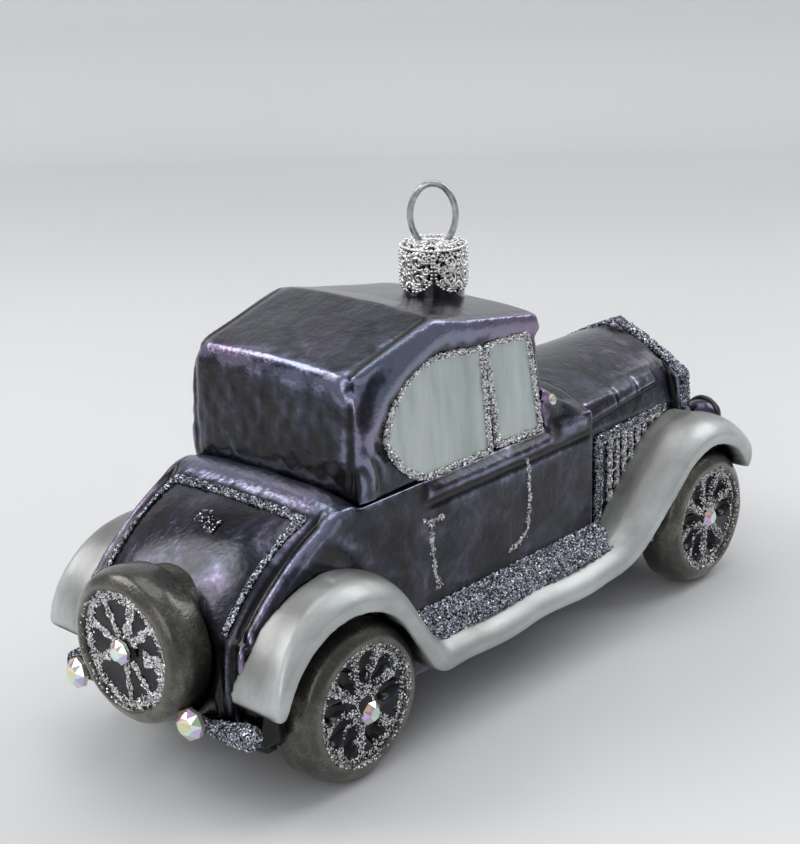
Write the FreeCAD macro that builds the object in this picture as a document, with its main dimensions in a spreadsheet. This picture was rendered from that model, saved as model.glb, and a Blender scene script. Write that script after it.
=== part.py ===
"""A mouth-blown glass hanging ornament in the form of an old coupe.

The car is a moulded glass shell, lacquered in zones and trimmed with glitter lines and
small crystals, that stands on its moulded wheels. A sprung metal crown cap with a wire
loop sits on the glass neck and turns on it.

Frame: +X to the car's front, +Y to its left, +Z up, millimetres. The origin is under the
middle of the ornament, on the surface that it stands on.
"""
import FreeCAD, Part
import Sketcher
import os
from math import atan2, cos, degrees, hypot, pi, radians, sin, sqrt

from FreeCAD import Placement, Rotation, Vector

doc = FreeCAD.newDocument("coupe_ornament")

# Driving sizes: name, value in millimetres or degrees, what it is
SIZE_ROWS = [
    ("rear_axle_x", -40.0, "rear wheel centre, along the car"),
    ("front_axle_x", 52.0, "front wheel centre, along the car"),
    ("tyre_radius", 12.6, "outer radius of a road wheel's tyre"),
    ("rim_radius", 9.0, "inner radius of the tyre, outer radius of the wheel disc"),
    ("wheel_width", 7.4, "from the seat in the body to the tyre's outer face"),
    ("seat_depth", 1.4, "depth of the wheels' seats in the body's sides"),
    ("disc_depth", 1.9, "how far a road wheel's disc lies below the tyre's outer face"),
    ("spare_depth", 0.9, "the same on the spare wheel"),
    ("glitter", 0.7, "height of the heavy glitter lines"),
    ("rim_band", 1.1, "width of the glitter ring round a wheel"),
    ("spoke_width", 1.1, "width of a glitter spoke"),
    ("hub_radius", 1.9, "glitter hub under the stone"),
    ("body_half", 18.0, "half width of the lower body"),
    ("belly", 8.5, "underside of the body above the floor"),
    ("belt", 39.9, "top of the lower body, where the cab stands"),
    ("chassis_height", 4.0, "the chassis above the belly"),
    ("tail_x", -59.5, "rear face of the body's tail"),
    ("tail_undercut", 5.0, "how far the tail runs in to the belly"),
    ("tail_wall", 9.5, "top of the tail's upright face above the belly"),
    ("deck_foot", 11.4, "rear edge of the boot deck below the belt"),
    ("ledge_rise", 2.3, "top of the roll behind the cab, above the belt"),
    ("ledge_drop", 1.5, "how much lower that roll is at the body's sides"),
    ("deck_drop", 4.6, "how much lower the boot deck is at the body's sides"),
    ("tail_corner", 5.0, "radius of the tail's corners, seen from above"),
    ("cowl_x", 23.5, "front end of the cowl, where the hood begins"),
    ("stub_radius", 1.3, "radius of the roll that runs down from the windscreen's foot"),
    ("stub_length", 11.5, "its length"),
    ("stub_slope", 118.0, "its direction, from straight up, degrees"),
    ("cab_rear", -33.9, "rear wall of the cab"),
    ("cab_front", 11.4, "foot of the windscreen"),
    ("cab_inset", 0.7, "the cab's foot inside the body's sides"),
    ("cab_lean", 1.1, "how far the cab's sides lean in up to the roof's edge"),
    ("roof_crease_x", -15.2, "highest line of the roof"),
    ("crease_rise", 23.5, "the roof's sides at its highest line, above the belt"),
    ("rear_rise", 17.1, "the roof's rear corners above the belt"),
    ("front_rise", 19.3, "the roof's front corners above the belt"),
    ("roof_crown", 0.7, "rise of the roof in its middle"),
    ("radiator_x", 54.5, "rear face of the radiator shell"),
    ("radiator_depth", 3.0, "front to back size of the radiator shell"),
    ("radiator_inset", 2.8, "the radiator's sides inside the body's sides"),
    ("corner_drop", 2.7, "the radiator's upper corners below the belt"),
    ("peak_rise", 5.1, "the radiator's peak above the belt"),
    ("trim_height", 0.5, "height of the fine glitter lines on the body"),
    ("trim_width", 1.3, "width of those lines"),
    ("lid_half", 14.2, "half width of the boot lid's outline"),
    ("door_length", 15.1, "the door's rear line behind the pillar's middle"),
    ("door_inset", 6.0, "the door's front line behind the windscreen's foot"),
    ("door_foot", 11.1, "the door's foot above the running board's underside"),
    ("pane", 0.4, "thickness of the painted window panes"),
    ("pane_band", 0.85, "width of the glitter band round a pane"),
    ("pane_sill", 0.8, "lower edge of the panes above the belt"),
    ("pane_head", 1.9, "upper edge of the panes below the roof's front corners"),
    ("pillar_x", -3.0, "middle of the pillar between the side windows"),
    ("slat_pitch", 2.4, "from one louvre to the next"),
    ("fender_reach", 7.4, "outer edge of the fenders, out from the body's sides"),
    ("fender_root", 5.0, "inner edge of the fenders, in from the body's sides"),
    ("fender_rise", 4.4, "rise of a fender from its lip to its crown"),
    ("fender_rim", 1.85, "height of the flat rim at its outer edge"),
    ("fender_tail", 1.9, "rise left at the rear fender's foot"),
    ("tail_angle", 168.0, "where the rear fender's arc begins, degrees from the front"),
    ("rear_slope", 34.0, "where that arc ends"),
    ("front_slope", 128.0, "where the front fender's arc begins"),
    ("flare_angle", 75.0, "where it opens out to the nose"),
    ("nose_angle", 40.0, "where it ends at the front tip"),
    ("rear_bend", 7.0, "radius of the lip's bend into the board, behind the door"),
    ("front_bend", 14.0, "radius of its bend ahead of the door"),
    ("board_z", 11.3, "underside of the running board"),
    ("board_reach", 4.7, "outer edge of the board's glitter, out from the body's sides"),
    ("board_rear", 17.0, "rear end of that glitter, ahead of the rear axle"),
    ("board_front", 26.6, "its front end, behind the front axle"),
    ("rear_arch_shift", 3.6, "centre of the rear fender's arc behind the rear axle"),
    ("rear_arch_z", 14.4, "the same, above the floor"),
    ("rear_arch_radius", 13.9, "radius of the rear fender's lip"),
    ("front_arch_shift", 1.8, "centre of the front fender's arc behind the front axle"),
    ("front_arch_z", 14.8, "the same, above the floor"),
    ("front_arch_radius", 12.4, "radius of the front fender's lip over the wheel"),
    ("nose_radius", 19.0, "radius of that lip where it flares to its tip"),
    ("spare_sink", 1.8, "seat of the spare wheel, in from the tail's face"),
    ("spare_z", 23.5, "centre of the spare wheel"),
    ("spare_radius", 12.2, "outer radius of the spare tyre"),
    ("bumper_z", 13.6, "underside of the bumpers"),
    ("bumper_height", 3.4, "height of a bumper near its ends"),
    ("bumper_waist", 2.2, "its height in the middle"),
    ("bumper_depth", 2.3, "front to back size of a bumper"),
    ("bumper_reach", 4.6, "ends of the rear bumper, out from the body's sides"),
    ("front_bumper_reach", 0.3, "ends of the front bumper, out from the radiator's sides"),
    ("hub_stone", 1.5, "radius of a road wheel's stone"),
    ("spare_stone", 1.65, "radius of the spare wheel's stone"),
    ("tail_stone", 2.3, "radius of a tail stone"),
    ("tail_stone_inset", 5.5, "tail stones, in from the body's sides"),
    ("side_stone", 0.9, "radius of a cowl stone"),
    ("lamp_radius", 3.4, "radius of a headlamp bulb"),
    ("lamp_reach", 1.2, "headlamps, out from the radiator's sides"),
    ("lamp_z", 28.4, "centre of a headlamp above the floor"),
    ("roll_height", 3.2, "height of the half-round roll along the belt"),
    ("roll_rise", 0.8, "how far that roll stands out from the body"),
    ("wheel_fit", 0.12, "clearance between a wheel and the pocket it is moulded in"),
    ("neck_x", 4.0, "axis of the neck"),
    ("neck_bore", 3.9, "radius of the neck's hole"),
    ("cap_radius", 5.4, "outer radius of the cap"),
    ("cap_sheet", 0.3, "thickness of the cap's metal"),
    ("cap_lift", 1.4, "tips of the cap's petals above the roof"),
    ("cap_height", 7.5, "height of the cap"),
    ("cap_play", 0.08, "clearance between cap and neck"),
    ("slit_width", 0.5, "width of the slits between the petals"),
    ("wire", 0.9, "diameter of the loop's wire"),
    ("loop_half", 3.65, "half width of the loop at the wire's middle"),
    ("loop_rise", 9.3, "top of the loop above the cap, at the wire's middle"),
    ("leg_half", 2.35, "half distance of the loop's legs in the cap"),
    ("leg_length", 6.5, "how far the loop's legs reach down from the cap's top"),
    ("hanger_turn", 41.0, "how far the cap and its loop are turned on the neck, degrees"),
]

# Sizes that follow others: name, formula, what it is
FOLLOWING_ROWS = [
    ("wheel_seat", "=body_half - seat_depth", "the wheels' seats, out from the middle plane"),
    ("cab_half", "=body_half - cab_inset", "half width of the cab at its foot"),
    ("cab_head", "=cab_half - cab_lean", "half width of the cab at the roof's edge"),
    ("ledge_top", "=belt + ledge_rise", "top of the roll behind the cab"),
    ("roof_crease", "=belt + crease_rise", "height of the roof's sides at its highest line"),
    ("roof_rear", "=belt + rear_rise", "height of the roof's rear corners"),
    ("roof_front", "=belt + front_rise", "height of the roof's front corners"),
    ("radiator_half", "=body_half - radiator_inset", "half width of the radiator at its foot"),
    ("radiator_corner", "=belt - corner_drop", "height of the radiator's upper corners"),
    ("radiator_peak", "=belt + peak_rise", "height of the radiator's peak"),
    ("fender_outer", "=body_half + fender_reach", "outer edge of the fenders"),
    ("fender_inner", "=body_half - fender_root", "inner edge of the fenders"),
    ("board_half", "=body_half + board_reach", "outer edge of the board's glitter"),
    ("rear_arch_x", "=rear_axle_x - rear_arch_shift", "centre of the rear fender's arc"),
    ("front_arch_x", "=front_axle_x - front_arch_shift", "centre of the front fender's arc"),
    ("spare_x", "=tail_x + spare_sink", "seat of the spare wheel"),
    ("bumper_half", "=body_half + bumper_reach", "half length of the rear bumper"),
    ("front_bumper_half", "=radiator_half + front_bumper_reach", "half length of the front bumper"),
    ("tail_stone_y", "=body_half - tail_stone_inset", "tail stones, out from the middle plane"),
    ("lamp_y", "=radiator_half + lamp_reach", "headlamps, out from the middle plane"),
]

sheet = doc.addObject("Spreadsheet::Sheet", "Sizes")
for row, (alias, value, meaning) in enumerate(SIZE_ROWS + FOLLOWING_ROWS, start=1):
    sheet.set("A%d" % row, alias)
    sheet.set("B%d" % row, str(value))
    sheet.setAlias("B%d" % row, alias)
    sheet.set("C%d" % row, meaning)
doc.recompute()


def size(alias):
    """The value of one named size."""
    return float(getattr(sheet, alias))


def value_of(expression):
    """The number that an expression over the sheet gives."""
    if isinstance(expression, (int, float)):
        return float(expression)
    return float(sheet.evalExpression(expression))


def S(alias):
    """A size's name as expressions write it."""
    return "Sizes." + alias


def origin_plane(body, role):
    """One of a body's own planes, such as XZ_Plane."""
    return next(plane for plane in body.Origin.OriginFeatures if plane.Role == role)


def circle_through(a, b, c):
    """Centre and radius of the circle through three points of a sketch."""
    d = 2 * (a[0] * (b[1] - c[1]) + b[0] * (c[1] - a[1]) + c[0] * (a[1] - b[1]))
    squares = [p[0] ** 2 + p[1] ** 2 for p in (a, b, c)]
    x = (squares[0] * (b[1] - c[1]) + squares[1] * (c[1] - a[1]) + squares[2] * (a[1] - b[1])) / d
    y = (squares[0] * (c[0] - b[0]) + squares[1] * (a[0] - c[0]) + squares[2] * (b[0] - a[0])) / d
    return x, y, hypot(a[0] - x, a[1] - y)


def pin_point(sk, geometry, position, x_expression, y_expression):
    """Ties one point of a sketch to two expressions over the sheet."""
    for kind, expression in (("DistanceX", x_expression), ("DistanceY", y_expression)):
        index = sk.addConstraint(
            Sketcher.Constraint(kind, -1, 1, geometry, position, value_of(expression)))
        if isinstance(expression, str):
            sk.setExpression("Constraints[%d]" % index, expression)


def draw_outline(sk, outline, closed=True):
    """Draws lines and three-point arcs, each point tied to the sheet.

    An entry is (x, y) for a corner, or (x, y, (mx, my)) where the edge that ends in the
    corner is an arc through (mx, my).
    """
    corners = [(value_of(p[0]), value_of(p[1])) for p in outline]
    count = len(outline)
    first = 0 if closed else 1
    ends = []
    for i in range(first, count):
        a, b = corners[i - 1], corners[i]
        if len(outline[i]) == 3:
            through = (value_of(outline[i][2][0]), value_of(outline[i][2][1]))
            x, y, r = circle_through(a, through, b)
            angles = [atan2(p[1] - y, p[0] - x) for p in (a, through, b)]
            turned = (angles[1] - angles[0]) % (2 * pi) < (angles[2] - angles[0]) % (2 * pi)
            low, high = (angles[0], angles[2]) if turned else (angles[2], angles[0])
            circle = Part.Circle(Vector(x, y, 0), Vector(0, 0, 1), r)
            index = sk.addGeometry(Part.ArcOfCircle(circle, low, low + (high - low) % (2 * pi)))
            ends.append((index, (1, 2) if turned else (2, 1)))
            marker = sk.addGeometry(Part.Point(Vector(through[0], through[1], 0)), True)
            sk.addConstraint(Sketcher.Constraint("PointOnObject", marker, 1, index))
            pin_point(sk, marker, 1, outline[i][2][0], outline[i][2][1])
        else:
            line = Part.LineSegment(Vector(a[0], a[1], 0), Vector(b[0], b[1], 0))
            ends.append((sk.addGeometry(line), (1, 2)))
        pin_point(sk, ends[-1][0], ends[-1][1][1], outline[i][0], outline[i][1])
    for k in range(len(ends)):
        if k == 0 and not closed:
            pin_point(sk, ends[0][0], ends[0][1][0], outline[0][0], outline[0][1])
            continue
        before, after = ends[k - 1], ends[k]
        sk.addConstraint(
            Sketcher.Constraint("Coincident", before[0], before[1][1], after[0], after[1][0]))


def new_body(label):
    body = doc.addObject("PartDesign::Body", label)
    body.Label = label
    return body


def sketch_in(body, label, role, outlines, lift=None):
    """A sketch on one of the body's own planes, lifted off it by an expression."""
    sk = body.newObject("Sketcher::SketchObject", label)
    sk.AttachmentSupport = [(origin_plane(body, role), "")]
    sk.MapMode = "FlatFace"
    if lift is not None:
        sk.AttachmentOffset = Placement(Vector(0, 0, value_of(lift)), Rotation())
        sk.setExpression("AttachmentOffset.Base.z", lift)
    for outline in outlines:
        draw_outline(sk, outline)
    return sk


def sized(feature, **expressions):
    """Binds a feature's properties to expressions over the sheet."""
    for name, expression in expressions.items():
        setattr(feature, name, value_of(expression))
        feature.setExpression(name, expression)
    return feature


def pad(body, label, sk, length):
    feature = body.newObject("PartDesign::Pad", label)
    feature.Profile = sk
    return sized(feature, Length=length)


def revolve(body, label, sk):
    """A full turn about the sketch's own vertical axis."""
    feature = body.newObject("PartDesign::Revolution", label)
    feature.Profile = sk
    feature.ReferenceAxis = (sk, ["V_Axis"])
    feature.Angle = 360
    return feature


def loft(body, label, sketches, ruled=False):
    feature = body.newObject("PartDesign::AdditiveLoft", label)
    feature.Profile = sketches[0]
    feature.Sections = sketches[1:]
    feature.Ruled = ruled
    return feature


def put(obj, x="0", y="0", z="0", rotation=None):
    """Places an object by expressions."""
    obj.Placement = Placement(Vector(value_of(x), value_of(y), value_of(z)), rotation or Rotation())
    for axis, expression in (("x", x), ("y", y), ("z", z)):
        obj.setExpression("Placement.Base." + axis, expression)
    return obj


def cut(label, base, tools):
    """The base less its neighbours, so that the pieces meet face to face."""
    tool = tools[0]
    if len(tools) > 1:
        tool = doc.addObject("Part::MultiFuse", label + "_tools")
        tool.Shapes = tools
    feature = doc.addObject("Part::Cut", label)
    feature.Base = base
    feature.Tool = tool
    feature.Label = label
    return feature


def fuse(label, pieces):
    feature = doc.addObject("Part::MultiFuse", label)
    feature.Shapes = pieces
    feature.Label = label
    return feature


def common(label, base, tool):
    feature = doc.addObject("Part::Common", label)
    feature.Base = base
    feature.Tool = tool
    feature.Label = label
    return feature


def mirrored(label, source):
    """The same piece on the car's left side."""
    feature = doc.addObject("Part::Mirroring", label)
    feature.Source = source
    feature.Normal = Vector(0, 1, 0)
    feature.Base = Vector(0, 0, 0)
    feature.Label = label
    return feature


def cylinder(label, radius, height, x, y, z, rotation=None):
    feature = doc.addObject("Part::Cylinder", label)
    feature.Label = label
    sized(feature, Radius=radius, Height=height)
    return put(feature, x, y, z, rotation)


def box(label, x0, x1, y0, y1, z0, z1):
    """A block between six expressions."""
    feature = doc.addObject("Part::Box", label)
    feature.Label = label
    sized(feature, Length="(%s) - (%s)" % (x1, x0), Width="(%s) - (%s)" % (y1, y0),
          Height="(%s) - (%s)" % (z1, z0))
    return put(feature, x0, y0, z0)


NODES = []


def node(feature):
    """Marks an object as one of the ornament's pieces."""
    NODES.append(feature)
    return feature


OUT_RIGHT = Rotation(Vector(1, 0, 0), 90)
OUT_LEFT = Rotation(Vector(1, 0, 0), -90)
OUT_REAR = Rotation(Vector(0, 1, 0), -90)


# Wheels: each is a moulded blister in three paints with a crystal at its hub

def tyre_section(radius, width):
    """Half section of a tyre, its shoulder towards the outside turned in flats."""
    return [
        (S("rim_radius"), "0"),
        (radius, "0"),
        (radius, "%s - 3.2" % width),
        ("%s - 0.8" % radius, "%s - 1.0" % width),
        ("%s - 2.4" % radius, width),
        (S("rim_radius"), width),
    ]


def make_tyre(label, radius, width, place):
    body = new_body(label)
    sk = sketch_in(body, label + "_section", "XZ_Plane", [tyre_section(radius, width)])
    revolve(body, label + "_turned", sk)
    return put(body, *place)


def make_disc(label, depth, place):
    """The dark, dished face of the wheel inside the tyre."""
    body = new_body(label)
    face = "%s - %s" % (S("wheel_width"), depth)
    sk = sketch_in(body, label + "_section", "XZ_Plane", [[
        ("0", "0"),
        (S("rim_radius"), "0"),
        (S("rim_radius"), face),
        ("%s" % S("hub_radius"), face),
        ("%s" % S("hub_radius"), "%s + 0.5" % face),
        ("0", "%s + 0.5" % face),
    ]])
    revolve(body, label + "_turned", sk)
    return put(body, *place)


def make_spokes(label, depth, place):
    """Glitter ring with eight spokes that run in to the hub."""
    body = new_body(label)
    face = "%s - %s" % (S("wheel_width"), depth)
    ring = body.newObject("Sketcher::SketchObject", label + "_ring")
    ring.AttachmentSupport = [(origin_plane(body, "XY_Plane"), "")]
    ring.MapMode = "FlatFace"
    ring.AttachmentOffset = Placement(Vector(0, 0, value_of(face)), Rotation())
    ring.setExpression("AttachmentOffset.Base.z", face)
    for radius in (S("rim_radius"), "%s - %s" % (S("rim_radius"), S("rim_band"))):
        index = ring.addGeometry(
            Part.Circle(Vector(0, 0, 0), Vector(0, 0, 1), value_of(radius)))
        ring.addConstraint(Sketcher.Constraint("Coincident", index, 3, -1, 1))
        bound = ring.addConstraint(Sketcher.Constraint("Radius", index, value_of(radius)))
        ring.setExpression("Constraints[%d]" % bound, radius)
    pad(body, label + "_ring_pad", ring, "%s + 0.3" % depth)
    half = "%s / 2" % S("spoke_width")
    spoke_outline = [
        (S("hub_radius"), "-(%s)" % half),
        ("%s - %s / 2" % (S("rim_radius"), S("rim_band")), "-(%s)" % half),
        ("%s - %s / 2" % (S("rim_radius"), S("rim_band")), half),
        (S("hub_radius"), half),
    ]
    spoke = sketch_in(body, label + "_spoke", "XY_Plane", [spoke_outline], face)
    spoke_pad = pad(body, label + "_spoke_pad", spoke, S("glitter"))
    doc.recompute()
    pattern = body.newObject("PartDesign::PolarPattern", label + "_spokes")
    pattern.Originals = [spoke_pad]
    pattern.Axis = (ring, ["N_Axis"])
    pattern.Angle = 360
    pattern.Occurrences = 8
    body.Tip = pattern
    return put(body, *place)


STONE_SIDES = 8


def octagon(radius):
    """Corners of a cut stone's outline."""
    step = 360 / STONE_SIDES
    turns = [radians(step * (k + 0.5)) for k in range(STONE_SIDES)]
    return [("%s * %.5f" % (radius, cos(turn)), "%s * %.5f" % (radius, sin(turn))) for turn in turns]


def make_stone(label, radius, place):
    """A cut crystal: a flared foot up to the girdle, then facets in to the table."""
    body = new_body(label)
    foot = sketch_in(body, label + "_foot", "XY_Plane", [octagon("%s * 0.86" % radius)])
    flare = pad(body, label + "_foot_pad", foot, "%s * 0.3" % radius)
    flare.TaperAngle = 25
    girdle = sketch_in(body, label + "_girdle", "XY_Plane", [octagon(radius)], "%s * 0.3" % radius)
    facets = pad(body, label + "_facet_pad", girdle, "%s * 0.65" % radius)
    facets.TaperAngle = -37
    return put(body, *place)


WHEELS = [
    ("rear_right", "rear_axle_x", -1), ("rear_left", "rear_axle_x", 1),
    ("front_right", "front_axle_x", -1), ("front_left", "front_axle_x", 1),
]
for corner, axle, side in WHEELS:
    seat = "%s%s" % ("-" if side < 0 else "", S("wheel_seat"))
    place = (S(axle), seat, S("tyre_radius"), OUT_RIGHT if side < 0 else OUT_LEFT)
    node(make_tyre("tyre_" + corner, S("tyre_radius"), S("wheel_width"), place))
    node(make_disc("wheel_" + corner, S("disc_depth"), place))
    node(make_spokes("spokes_" + corner, S("disc_depth"), place))
    hub = "%s + %s - %s + 0.5" % (S("wheel_seat"), S("wheel_width"), S("disc_depth"))
    node(make_stone("hub_stone_" + corner, S("hub_stone"),
                    (S(axle), "-(%s)" % hub if side < 0 else hub, S("tyre_radius"), place[3])))

spare_place = (S("spare_x"), "0", S("spare_z"), OUT_REAR)
spare_wide = make_tyre("spare_tyre_blank", S("spare_radius"), S("wheel_width"), spare_place)
spare_root = cylinder("spare_root", "%s - 1.2" % S("spare_radius"), "8",
                      "%s + 8" % S("spare_x"), "0", S("spare_z"), OUT_REAR)
node(make_disc("spare_wheel", S("spare_depth"), spare_place))
node(make_spokes("spare_spokes", S("spare_depth"), spare_place))
node(make_stone("spare_stone", S("spare_stone"),
                ("%s - %s + %s - 0.5" % (S("spare_x"), S("wheel_width"), S("spare_depth")),
                 "0", S("spare_z"), OUT_REAR)))


# Cab: crowned roof, leaning sides

def cab_side(crown):
    rise = " + %s * %s" % (S("roof_crown"), crown)
    return [
        (S("cab_rear"), S("belt")),
        (S("cab_front"), S("belt")),
        ("%s - 1.9" % S("cab_front"), "%s - 3.5" % S("roof_front")),
        ("%s - 0.6" % S("cab_front"), "%s - 2.6" % S("roof_front")),
        ("%s - 0.6" % S("cab_front"), S("roof_front") + rise),
        (S("roof_crease_x"), S("roof_crease") + rise),
        ("%s + 0.7" % S("cab_rear"), S("roof_rear") + rise),
        (S("cab_rear"), "%s + 2.1" % S("belt")),
    ]


cab_block = new_body("cab_block")
cab_sides = [sketch_in(cab_block, "cab_side_%d" % i, "XZ_Plane", [cab_side(crown)], lift)
             for i, (crown, lift) in enumerate((
                 ("0", "-%s" % S("cab_half")), ("1", "0"), ("0", S("cab_half"))))]
loft(cab_block, "cab_crown", cab_sides)

cab_front_view = new_body("cab_front_view")
cab_face = sketch_in(cab_front_view, "cab_face", "YZ_Plane", [[
    ("-%s" % S("cab_half"), S("belt")),
    (S("cab_half"), S("belt")),
    (S("cab_head"), S("roof_front")),
    ("%s - 0.4" % S("cab_head"), "%s + 8" % S("roof_crease")),
    ("-%s + 0.4" % S("cab_head"), "%s + 8" % S("roof_crease")),
    ("-%s" % S("cab_head"), S("roof_front")),
]], "%s - 5" % S("cab_rear"))
pad(cab_front_view, "cab_face_pad", cab_face, "%s - %s + 10" % (S("cab_front"), S("cab_rear")))
cab_whole = common("cab_whole", cab_block, cab_front_view)

# The cap's seat: heights on the roof at the neck
ROOF_AT_NECK = "(%s + (%s - %s) * (%s - %s) / (%s - 0.6 - %s) + %s)" % (
    S("roof_crease"), S("roof_front"), S("roof_crease"), S("neck_x"), S("roof_crease_x"),
    S("cab_front"), S("roof_crease_x"), S("roof_crown"))
CAP_FOOT = "(%s + %s)" % (ROOF_AT_NECK, S("cap_lift"))
CAP_TOP = "(%s + %s)" % (CAP_FOOT, S("cap_height"))
LEG_FOOT = "(%s - %s)" % (CAP_TOP, S("leg_length"))
bore = cylinder("neck_bore_hole", S("neck_bore"), "%s + 5" % S("leg_length"), S("neck_x"), "0",
                "%s - 0.8" % LEG_FOOT)
cab = node(cut("cab", cab_whole, [bore]))


# Lower body: a tub with a curved boot deck, closed arches over the wheels and a cowl

CHASSIS_TOP = "(%s + %s)" % (S("belly"), S("chassis_height"))


def tub_outline(drop, ledge_drop):
    """Side view of the tub, its deck and ledge lowered towards the body's sides."""
    return [
        ("%s + %s" % (S("tail_x"), S("tail_undercut")), S("belly")),
        (S("cowl_x"), S("belly")),
        (S("cowl_x"), S("belt")),
        (S("cab_rear"), S("belt")),
        (S("cab_rear"), "%s - 0.7 - %s" % (S("ledge_top"), ledge_drop)),
        ("%s - 2.6" % S("cab_rear"), "%s - %s" % (S("ledge_top"), ledge_drop),
         ("%s - 1.1" % S("cab_rear"), "%s - 0.1 - %s" % (S("ledge_top"), ledge_drop))),
        ("%s - 6.6" % S("cab_rear"), "%s - 2.0 - %s" % (S("ledge_top"), ledge_drop),
         ("%s - 5.2" % S("cab_rear"), "%s - 0.7 - %s" % (S("ledge_top"), ledge_drop))),
        ("%s + 1.9" % S("tail_x"), "%s - %s - %s" % (S("belt"), S("deck_foot"), drop),
         ("%s + 8.6" % S("tail_x"), "%s - 4.2 - %s" % (S("belt"), drop))),
        (S("tail_x"), "%s + %s" % (S("belly"), S("tail_wall"))),
        (S("tail_x"), CHASSIS_TOP),
    ]


DECK_STEPS = (-1.0, -0.5, 0.0, 0.5, 1.0)


def fall(share):
    """How much of its full drop the deck has at a share of the body's half width."""
    return 0.155 * share ** 2 + 0.845 * share ** 4


def make_tub(label):
    """The tub lofted across the car, from one side through the middle to the other."""
    body = new_body(label)
    views = []
    for i, share in enumerate(DECK_STEPS):
        drops = ["%s * %.4f" % (S(name), fall(share)) for name in ("deck_drop", "ledge_drop")]
        views.append(sketch_in(body, "%s_side_%d" % (label, i), "XZ_Plane", [tub_outline(*drops)],
                               "%s * %.1f" % (S("body_half"), share)))
    loft(body, label + "_loft", views)
    return body


tub_plan = new_body("tub_plan")
corner = S("tail_corner")
cut_in = "(%s * 0.2929)" % corner
side_at = S("body_half")
tub_plan_sketch = sketch_in(tub_plan, "tub_plan_outline", "XY_Plane", [[
    (S("cowl_x"), "-%s" % side_at),
    (S("cowl_x"), side_at),
    ("%s + %s" % (S("tail_x"), corner), side_at),
    (S("tail_x"), "%s - %s" % (side_at, corner),
     ("%s + %s" % (S("tail_x"), cut_in), "%s - %s" % (side_at, cut_in))),
    (S("tail_x"), "%s - %s" % (corner, side_at)),
    ("%s + %s" % (S("tail_x"), corner), "-%s" % side_at,
     ("%s + %s" % (S("tail_x"), cut_in), "%s - %s" % (cut_in, side_at))),
]])
pad(tub_plan, "tub_plan_pad", tub_plan_sketch, "%s + 10" % S("ledge_top"))
tub_blank = common("tub_blank", make_tub("tub_loft"), tub_plan)

cowl_blank = new_body("cowl_blank")
cowl_half = "(%s - 0.8)" % S("cab_half")
cowl_section = sketch_in(cowl_blank, "cowl_section", "YZ_Plane", [[
    ("-%s" % cowl_half, S("belt")),
    (cowl_half, S("belt")),
    (cowl_half, "%s + 0.5" % S("belt")),
    ("-%s" % cowl_half, "%s + 0.5" % S("belt"), ("0", "%s + 3.6" % S("belt"))),
]], S("cab_front"))
pad(cowl_blank, "cowl_pad", cowl_section, "%s - %s" % (S("cowl_x"), S("cab_front")))

SLOPE_FORWARD = Rotation(Vector(0, 1, 0), size("stub_slope"))
stub_x = "(%s - %s)" % (S("cab_front"), S("stub_radius"))
stub_y = "(%s - 1.0)" % S("cab_half")
stub_z = "(%s + %s / 2)" % (S("belt"), S("stub_length"))
stub_right = cylinder("stub_right", S("stub_radius"), S("stub_length"), stub_x, "-%s" % stub_y,
                      stub_z, SLOPE_FORWARD)
stub_left = cylinder("stub_left", S("stub_radius"), S("stub_length"), stub_x, stub_y,
                     stub_z, SLOPE_FORWARD)


# Hood with its side panels, and the radiator shell in front of it

def hood_outline(half, side_top, shoulder, crown):
    return [
        ("-(%s)" % half, CHASSIS_TOP),
        (half, CHASSIS_TOP),
        (half, side_top),
        ("%s - 1.4" % half, shoulder),
        ("-(%s - 1.4)" % half, shoulder, ("0", crown)),
        ("-(%s)" % half, side_top),
    ]


def make_hood(label, grow):
    """The hood lofted from the cowl to the radiator, its sides moved out by an expression."""
    body = new_body(label)
    ends = (("rear", S("body_half"), "%s - 4.4" % S("belt"), "%s - 0.3" % S("belt"),
             "%s + 3.6" % S("belt"), S("cowl_x")),
            ("front", S("radiator_half"), "%s - 4.6" % S("radiator_corner"), S("radiator_corner"),
             "%s - 1.1" % S("radiator_peak"), S("radiator_x")))
    views = [sketch_in(body, "%s_%s" % (label, end), "YZ_Plane",
                       [hood_outline("%s - 1.3 + %s" % (half, grow), side_top, shoulder, crown)], at)
             for end, half, side_top, shoulder, crown, at in ends]
    loft(body, label + "_loft", views)
    return body


hood = node(make_hood("hood", "0"))


def radiator_outline(grow):
    half = "(%s + %s)" % (S("radiator_half"), grow)
    top = "(%s + %s)" % (S("radiator_corner"), grow)
    gable = "(%s + %s) / 2 + %s + 0.3" % (S("radiator_corner"), S("radiator_peak"), grow)
    return [
        ("-%s" % half, CHASSIS_TOP, ("-%s - 0.1" % half, "%s - 10" % top)),
        (half, CHASSIS_TOP),
        ("%s - 0.7" % half, top, ("%s + 0.1" % half, "%s - 10" % top)),
        ("0", "%s + %s" % (S("radiator_peak"), grow), ("%s / 2" % half, gable)),
        ("-%s + 0.7" % half, top, ("-%s / 2" % half, gable)),
    ]


radiator = new_body("radiator_shell")
radiator_sketch = sketch_in(radiator, "radiator_front", "YZ_Plane",
                            [radiator_outline("0")], S("radiator_x"))
pad(radiator, "radiator_pad", radiator_sketch, S("radiator_depth"))
node(radiator)

band = new_body("radiator_band_blank")
band_sketch = sketch_in(band, "radiator_band_outline", "YZ_Plane",
                        [radiator_outline(S("trim_height"))], "%s + 0.5" % S("radiator_x"))
pad(band, "radiator_band_pad", band_sketch, "%s - 0.8" % S("radiator_depth"))

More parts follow.
